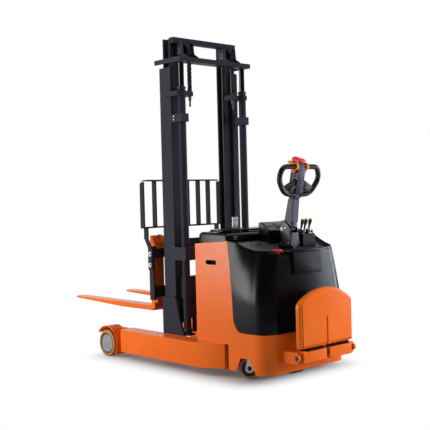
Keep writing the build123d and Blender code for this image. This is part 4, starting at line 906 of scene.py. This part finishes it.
def platform():
    piece = Piece("step_plate", ORANGE, BLACK_TYRE, PAINTED_SHADE, SHADE)
    widths = [ARCH_HALF - 2 * ARCH_HALF * k / ARCH_STEPS for k in range(ARCH_STEPS + 1)]
    arch = [(y, ARCH_Z + math.sqrt(ARCH_R ** 2 - y * y)) for y in widths]
    corners = [(-PLATE_HALF, PLATE_LOW), (PLATE_HALF, PLATE_LOW), (PLATE_HALF, PLATE_SIDE)]
    outline = rounded(corners + arch + [(-PLATE_HALF, PLATE_SIDE)], [16, 16, 44] + [0] * len(arch) + [44], 8)

    def rear(u, v, w):
        return PLATE_X - w, u, v

    back = [(14, 36), (14, 2), (12.5, 0.6), (10, 0), (3, 0), (1, 0.8), (0, 3), (0, 8)]
    piece.shell(outline, back + arc((18, 24), 18, 180, 90, 9), rear)
    piece.prism(rounded(rect((-23, 3), (236, 427)), (7, 7, 13, 13), 8), 38, 49, rear, 6, 0, 5)
    # A thin dark strip down the plate's left edge: painted shade of the crease there.
    crease = rounded([(243, 238), (250, 238), (250, 514), (245, 514)], 1)
    piece.prism(crease, 40, 42.4, rear, 0.2, 3, 1)
    piece.prism(rounded(rect((-252, 252), (242, 480)), 10), 15, 32, rear, 1.5, 1)
    ribs, rib_pitch = 24, 21
    for step in range(ribs):
        y = rib_pitch * (step - (ribs - 1) / 2)
        piece.box((-1249.4, -1246.6), (y - 5, y + 5), (250, 472), 1, 1)
    for side in (LEFT, RIGHT):
        piece.prism(rounded(rect((-1280, PLATE_X), (139, 211)), 6), 15, 248, to_side(side), 3)
        # Near-black blocks between the plate's face and the rails: painted shade in the gap there.
        piece.box((-1256, -1244), out_from(side, 20, 246), (204, 240), 2, 2)
        piece.box((-1279, -1240), out_from(side, 224, 249), (205, 219), 2)
    piece.finish("platform", "platform", angle=32, slot="orange_paint")

    piece = Piece("platform_spring", KNOB, CAST)
    steps = COIL_TURNS * TURN_STEPS
    turns = arc((FOLD_X, FOLD_Z), COIL_R, 0, 360 * COIL_TURNS, steps)
    coil = [(x, COIL_HALF * (2 * k / steps - 1), z) for k, (x, z) in enumerate(turns)]
    piece.tube([(-1243, -COIL_HALF, 221)] + coil + [(-1243, COIL_HALF, 222)], 2.1, 0, 8)
    for side in (LEFT, RIGHT):
        piece.bolt((FOLD_X, side * 292, FOLD_Z), (0, side, 0), 17, 1, 8)
        piece.pin(FOLD_X, FOLD_Z, (side * 228, side * 292), 9.8, 1, 20)
    piece.lathe([(11, -13), (11, 13)], (FOLD_X, 0, FOLD_Z), (0, 1, 0), 1, 20)
    piece.finish("chassis", "platform_hinge")


# Load wheels and castors

AXLE = (557, 0, 105)
TYRE_MIDDLE = 459.5
CASTOR_X, CASTOR_Y, CASTOR_TRAIL, CASTOR_R = -890, 318, 25, 75
CASTOR_TURNS = (37, 180)


def load_wheels():
    for side, hand in SIDES:
        out = (0, side, 0)
        piece = Piece(f"{hand}_tyre_ring", AMBER_TYRE)
        half = [(80.2, 417.5), (88, 417), (97, 417.4), (102, 420), (104.4, 425), (105, 432)]
        far = [(radius, 2 * TYRE_MIDDLE - y) for radius, y in half[::-1]]
        piece.lathe(half + far + half[:1], AXLE, out, 0, 72)
        piece.finish(f"{hand}_load_wheel", f"{hand}_load_tyre", angle=50, slot="amber_tyre")
        piece = Piece(f"{hand}_hub_cap", HUB, KNOB)
        # The lip and groove between hub and tyre are black: painted shade in the groove.
        piece.lathe([(20.6, 418), (60, 418), (80.2, 420), (80.2, 497), (78, 499), (74, 497), (73, 489)],
                    AXLE, out, 1, 64)
        piece.lathe([(73, 489), (71.6, 496), (70, 498.6), (67, 499.6), (63, 499), (60, 497.6), (48, 498.6),
                     (30, 499.9), (12, 500.6), (0, 500.8)], AXLE, out, 0, 64)
        piece.finish(f"{hand}_load_wheel", f"{hand}_load_hub", angle=40, slot="wheel_cast")


def castors():
    for (side, hand), turn in zip(SIDES, CASTOR_TURNS):
        c, d = math.cos(math.radians(turn)), math.sin(math.radians(turn))
        axis = Vector((-d, c, 0))
        king_pin = (CASTOR_X, side * CASTOR_Y, 0)

        def at(along, across, z):
            """A point of the castor, along and across its own heading."""
            return CASTOR_X + along * c - across * d, side * CASTOR_Y + along * d + across * c, z

        hub = at(CASTOR_TRAIL, 0, CASTOR_R)
        piece = Piece(f"{hand}_castor_yoke", ZINC, STEEL, KNOB)
        crown = [(0, 177), (44, 177), (46, 179), (46, 186), (43, 188), (34, 188.4), (34, 195), (31, 195.6),
                 (0, 195.6)]
        piece.lathe(crown, king_pin, UP, 0, 48)
        piece.lathe([(12, 195), (12, 214), (10, 216), (0, 216)], king_pin, UP, 1, 24)
        eye = arc((CASTOR_TRAIL, CASTOR_R), 30, 188, 343, 10)
        leg = rounded([(-10.5, 179), (-14, 152)] + eye + [(37, 152), (35.5, 179)],
                      [2, 14] + [0] * len(eye) + [14, 2])
        for cheek in (-1, 1):
            piece.prism(leg, 26, 32, lambda u, v, w: at(u, cheek * w, v), 1.6)
            piece.bolt(at(CASTOR_TRAIL, cheek * 32, CASTOR_R), cheek * axis, 16, 2, 6)
        piece.tube([at(CASTOR_TRAIL, across, CASTOR_R) for across in (-33, 33)], 7.9, 1)
        piece.finish(f"{hand}_castor", f"{hand}_castor_fork", slot="bright_steel")
        piece = Piece(f"{hand}_castor_roller", CASTOR_TYRE, KNOB, STEEL)
        tread = [(56, -21), (62, -22.6), (69, -21.4), (73, -17), (74.8, -9), (CASTOR_R, 0)]
        far = [(radius, -across) for radius, across in tread[-2::-1]]
        piece.lathe(tread + far + tread[:1], hub, axis, 0, 64)
        rim = [(8.1, -22), (18, -22), (20, -16), (50, -15), (56, -20.6), (57, -20)]
        piece.lathe(rim + [(radius, -across) for radius, across in rim[::-1]], hub, axis, 1, 48)
        bush = [(8.1, -24.6), (15, -24.6), (15, -21), (15, 21), (15, 24.6), (8.1, 24.6)]
        piece.lathe(bush, hub, axis, 2, 28)
        piece.finish(f"{hand}_castor_wheel", f"{hand}_castor_wheel", slot="castor_tyre")


# Lift chains

PITCH, CHAIN_WIDE, CHAIN_PLATES = 15.875, 36.0, 12
LINK_HALF_THICK, LINK_END, LINK_HIGH, LINK_WAIST = 1.3, 5.2, 5.6, 4.2
SHEAVE_X, SHEAVE_Z, CHAIN_R = -143, 2320, 50.3
FRONT_RUN_X, FRONT_RUN_LOW = -92.7, 906
REAR_RUN_X, REAR_RUN_LOW = -193.3, 2053
CHAIN_Y = 220
ANCHOR_X = -193


def chain_links(piece, line, across):
    """Lay leaf chain along a line of pins: plates in alternate lacing, and riveted pins."""
    for index, (one, two) in enumerate(zip(line, line[1:])):
        one, two = Vector(one), Vector(two)
        length = (two - one).length
        run = (two - one).normalized()
        up = run.cross(Vector((0, 1, 0)))
        outline = []
        for centre, first, waist in ((length, -90, LINK_WAIST), (0.0, 90, -LINK_WAIST)):
            end = arc((0, 0), 1, first, first + 180, 4)
            outline += [(centre + LINK_END * c, LINK_HIGH * d) for c, d in end] + [(length / 2, waist)]
        for plate in range(index % 2, CHAIN_PLATES, 2):
            y = across - CHAIN_WIDE / 2 + CHAIN_WIDE / CHAIN_PLATES * (plate + 0.5)
            piece.skin([[one + run * u + up * v + Vector((0, y + offset, 0)) for u, v in outline]
                        for offset in (-LINK_HALF_THICK, LINK_HALF_THICK)])
    for pin in line:
        path = [Vector(pin) + Vector((0, across + y, 0)) for y in (-18.4, -17.6, 17.6, 18.4)]
        piece.tube(path, [2, 2.6, 2.6, 2], 1, 8)


def upright_run(x, low):
    """Pins from a level up to the sheave, as near to the pitch as a whole number of links allows."""
    count = round((SHEAVE_Z - low) / PITCH)
    return [(x, 0, low + (SHEAVE_Z - low) * k / count) for k in range(count + 1)]


def chains():
    for side, hand in SIDES:
        y = side * CHAIN_Y
        piece = Piece(f"{hand}_front_chain", CHAIN, CHAIN_PIN)
        chain_links(piece, upright_run(FRONT_RUN_X, FRONT_RUN_LOW), y)
        obj = piece.finish(None, "front_chains", slot="chain_steel")
        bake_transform(obj)
        piece = Piece(f"{hand}_chain_arc", CHAIN, CHAIN_PIN)
        chain_links(piece, [(x, 0, z) for x, z in arc((SHEAVE_X, SHEAVE_Z), CHAIN_R, 0, 180, 10)], y)
        piece.finish("inner_mast", "rear_chains", slot="chain_steel")
        piece = Piece(f"{hand}_rear_chain", CHAIN, CHAIN_PIN)
        chain_links(piece, upright_run(REAR_RUN_X, REAR_RUN_LOW), y)
        obj = piece.finish(None, "rear_chains", slot="chain_steel")
        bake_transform(obj)
    piece = Piece("chain_bolts", CHAIN, CHAIN_PIN)
    thread = [(7 if k % 2 else 7.9, 1907 + 2 * k) for k in range(57)]
    ear = rounded(rect((-200, -186), (2036, 2060)), 6)
    for y in (CHAIN_Y, -CHAIN_Y):
        piece.lathe([(0, 1906)] + thread + [(0, 2021)], (ANCHOR_X, y, 0), UP, 1, 16)
        for z in (1953, 1970):
            piece.bolt((ANCHOR_X, y, z), UP, 22, 1, 13, False)
        piece.box((-201, -185), (y - 18, y + 18), (2018, 2042), 3, 0)
        for offset in (-13, -4.4, 4.4, 13):
            piece.prism(ear, y + offset - 1.4, y + offset + 1.4, to_side(LEFT), 0.4, 0)
    piece.finish("outer_mast", "chain_anchors", slot="chain_steel")


# Fittings on the mast and the side panels

CYLINDER_X, CYLINDER_Y = -205, 310
PIPE_X, PIPES_Y = -193, (-191, -229)
SLOT_Y = 404


def mast_details():
    piece = Piece("mast_bolts", ZINC, KNOB, BRASS, CHROME)
    collar = [(21.2, 2030), (31, 2030), (33, 2033), (33, 2044), (30, 2048), (24, 2048), (21.2, 2045)]
    foot = [(28, 238), (34, 239), (34, 270), (31, 276), (28, 277)]
    for side in (LEFT, RIGHT):
        for z in (1807, 1834):
            piece.bolt((-152, side * 343, z), (0, side, 0), 10, 0, 6, False)
        for profile in (collar, foot):
            piece.lathe(profile, (CYLINDER_X, side * CYLINDER_Y, 0), UP, 1, 36)
    nipple = [(0, 1008), (8.6, 1008), (9.4, 1011), (9.4, 1044), (7.6, 1048), (7.6, 1056), (10.4, 1058),
              (11, 1062), (10.6, 1071), (7, 1076), (0, 1077)]
    for y in PIPES_Y:
        piece.tube([(PIPE_X, y, 872), (PIPE_X, y, 1012)], 6, 3, 14)
        for z, across, thick in ((955, 17, 14), (978, 15, 12), (994, 17, 14)):
            piece.bolt((PIPE_X, y, z), UP, across, 2, thick, False)
        piece.lathe(nipple, (PIPE_X, y, 0), UP, 0, 24)
    piece.finish("outer_mast")
    piece = Piece("sheave_caps", RING_GLINT, BRACKET)
    cap = [(0, 0), (24, 0), (24, 3), (22.5, 4.6), (16, 5), (15, 3.4), (0, 3.2)]
    # The ring's light grey paint is a painted reflection of a steel ring.
    ring = [(13.5, 3), (13.5, 5), (12.5, 6.2), (9, 6.2), (8, 5), (8, 3)]
    for side in (LEFT, RIGHT):
        for y, way in ((158, -1), (274, 1)):
            place, out = (SHEAVE_X, side * y, SHEAVE_Z), (0, side * way, 0)
            piece.lathe(cap, place, out, 1, 32)
            if way < 0:
                piece.lathe(ring, place, out, 0, 28)
    piece.finish("inner_mast")
    piece = Piece("carriage_bolts", STEEL)
    for side in (LEFT, RIGHT):
        for z in (728, 812):
            piece.bolt((142, side * 372, z), (0, side, 0), 18)
    piece.finish("fork_carriage")


def panel_details():
    piece = Piece("hand_slots", KNOB, PAINTED_SHADE)
    outline = rounded(rect((-640, -534), (767, 799)), 15, 8)
    lip = [(0, 410.3), (1.4, 410.8), (2.6, 409.6), (3, SLOT_Y)]
    # The slot's well and its back are near-black: painted shade inside the slot.
    well = [(3, SLOT_Y), (3, 380), (6, 378)]
    for side in (LEFT, RIGHT):
        to = to_side(side)
        for material, rings in enumerate((lip, well)):
            piece.shell(outline, rings, to, material, caps=False)
        piece.prism(inset(outline, 3), 376, 379, to, 0.5, 1)
    piece.finish("chassis")


for build in (rear_cover, battery_lid, battery, deck_details, console, tiller_head, tiller_base, controls,
              platform, load_wheels, castors, chains, mast_details, panel_details):
    build()


# Studio, in metres

# The footprint and fade that bound the floor's painted shadow around the truck.
FOOT_MIDDLE = (0.2, 0.0, 0.0)
FOOTPRINT = (0.7, 0.38, 0.0)
FLOOR_RADIUS, FLOOR_DROP, FLOOR_GREY = 14, 0.0005, (0.58, 0.58, 0.58, 1)
FADE_REACH, FADE_FIRST = 0.33, 0.06
WORLD_TINT = (0.95, 0.97, 1.0, 1)
PHOTO_PIXELS, FOCAL_PIXELS, SENSOR = 430, 835.74, 36
CAMERA_PLACE = (-4.8719, 4.2946, 1.2452)
CAMERA_YAW, CAMERA_PITCH, CAMERA_ROLL = -42.56, -1.338, -1.4724


def surround():
    """A white surround that lights the truck more from behind it than from the near side."""
    world = bpy.data.worlds.new("studio")
    bpy.context.scene.world = world
    tree = fresh(world)
    link = tree.links.new
    where = add(tree, "ShaderNodeTexCoord").outputs["Generated"]
    rays = add(tree, "ShaderNodeLightPath").outputs

    def share(direction, low, high, first, last):
        """How bright the surround is in each direction."""
        dot = add(tree, "ShaderNodeVectorMath", {1: Vector(direction).normalized()}, operation="DOT_PRODUCT")
        link(where, dot.inputs[0])
        return map_range(tree, dot.outputs["Value"], low, high, first, last, "SMOOTHSTEP")

    def larger(one, two):
        made = add(tree, "ShaderNodeMath", operation="MAXIMUM")
        link(one, made.inputs[0])
        link(two, made.inputs[1])
        return made.outputs[0]

    light = add(tree, "ShaderNodeBackground", {"Color": WORLD_TINT})
    link(share((0.6, -0.75, 0.35), -0.6, 0.5, 0.1, 0.35), light.inputs["Strength"])
    seen = add(tree, "ShaderNodeBackground", {"Color": (1, 1, 1, 1)})
    behind = share((0.72, -0.69, 0.0), 0.3, 0.8, 0.015, 1.0)
    link(larger(rays["Is Camera Ray"], behind), seen.inputs["Strength"])
    direct = larger(larger(rays["Is Camera Ray"], rays["Is Glossy Ray"]), rays["Is Transmission Ray"])
    mix_shaders(tree, direct, light.outputs[0], seen.outputs[0], add(tree, "ShaderNodeOutputWorld"))


def floor():
    """A pale floor that is seen as grey under the truck and fades to white around it; the grey zone is
    painted shadow shaped by the truck's footprint, with the cast shadows inside it.
    """
    bm = bmesh.new()
    bmesh.ops.create_circle(bm, cap_ends=True, segments=96, radius=FLOOR_RADIUS)
    mesh = bpy.data.meshes.new("floor")
    bm.to_mesh(mesh)
    bm.free()
    floor = put("floor", mesh)
    floor.location.z = -FLOOR_DROP
    material = bpy.data.materials.new("floor")
    tree = fresh(material)
    # Painted shadow: within a fade of the truck's footprint the camera sees the grey matte floor with its
    # cast shadows; beyond it, white.
    far = add(tree, "ShaderNodeTexCoord").outputs["Object"]
    for operation, values in (("ADD", {1: FOOT_MIDDLE}), ("ABSOLUTE", {}), ("SUBTRACT", {1: FOOTPRINT}),
                              ("MAXIMUM", {1: (0, 0, 0)}), ("LENGTH", {})):
        made = add(tree, "ShaderNodeVectorMath", values, operation=operation)
        tree.links.new(far, made.inputs[0])
        far = made.outputs["Value" if operation == "LENGTH" else "Vector"]
    fade = map_range(tree, far, 0.0, FADE_REACH, FADE_FIRST, 1.0, "SMOOTHSTEP")
    seen = add(tree, "ShaderNodeMath", operation="MULTIPLY")
    tree.links.new(add(tree, "ShaderNodeLightPath").outputs["Is Camera Ray"], seen.inputs[0])
    tree.links.new(fade, seen.inputs[1])
    matte = add(tree, "ShaderNodeBsdfDiffuse", {"Color": FLOOR_GREY})
    glow = add(tree, "ShaderNodeEmission")
    out = add(tree, "ShaderNodeOutputMaterial")
    mix_shaders(tree, seen.outputs[0], matte.outputs[0], glow.outputs[0], out)
    mesh.materials.append(material)


def softbox(name, place, aim, width, height, power, tint=(1, 1, 1)):
    """A flat lamp at a place, aimed at another."""
    lamp = bpy.data.lights.new(name, "AREA")
    lamp.shape = "RECTANGLE"
    lamp.size, lamp.size_y = width, height
    lamp.energy = power
    lamp.color = tint
    obj = put(name, lamp)
    obj.location = place
    obj.rotation_euler = (Vector(aim) - Vector(place)).to_track_quat("-Z", "Y").to_euler()
    return obj


def camera():
    """The photograph's view: from behind on the left, a little above the lid."""
    yaw, pitch, roll = (math.radians(value) for value in (CAMERA_YAW, CAMERA_PITCH, CAMERA_ROLL))
    ahead = Vector((math.cos(pitch) * math.cos(yaw), math.cos(pitch) * math.sin(yaw), math.sin(pitch)))
    right = Vector((math.sin(yaw), -math.cos(yaw), 0))
    up = right.cross(ahead)
    level = math.cos(roll) * right + math.sin(roll) * up
    upright = math.cos(roll) * up - math.sin(roll) * right
    data = bpy.data.cameras.new("camera")
    data.sensor_width = SENSOR
    data.lens = FOCAL_PIXELS / PHOTO_PIXELS * SENSOR
    obj = put("camera", data)
    obj.matrix_world = Matrix([(*row, place) for row, place in zip(zip(level, upright, -ahead), CAMERA_PLACE)]
                              + [(0, 0, 0, 1)])
    bpy.context.scene.camera = obj


surround()
floor()
camera()
softbox("left_low_box", (2.4, 4.0, 0.9), (1.5, 0.4, 0.8), 2.2, 1.4, 112)
softbox("right_low_box", (-2.9, -4.75, 1.1), (-1.05, -0.3, 0.7), 2.6, 1.9, 125, (0.86, 0.9, 1.0))
softbox("left_high_box", (2.6, 3.7, 3.0), (-0.3, 0, 0.5), 2.4, 1.8, 80)
softbox("rear_box", (-3.4, -1.3, 1.0), (-1.28, 0, 0.35), 1.0, 0.8, 34).visible_glossy = False
softbox("top_box", (-2.3, -0.2, 5.0), (-0.9, 0, 0.5), 4.0, 4.0, 80)
bpy.context.scene.view_settings.view_transform = "Standard"
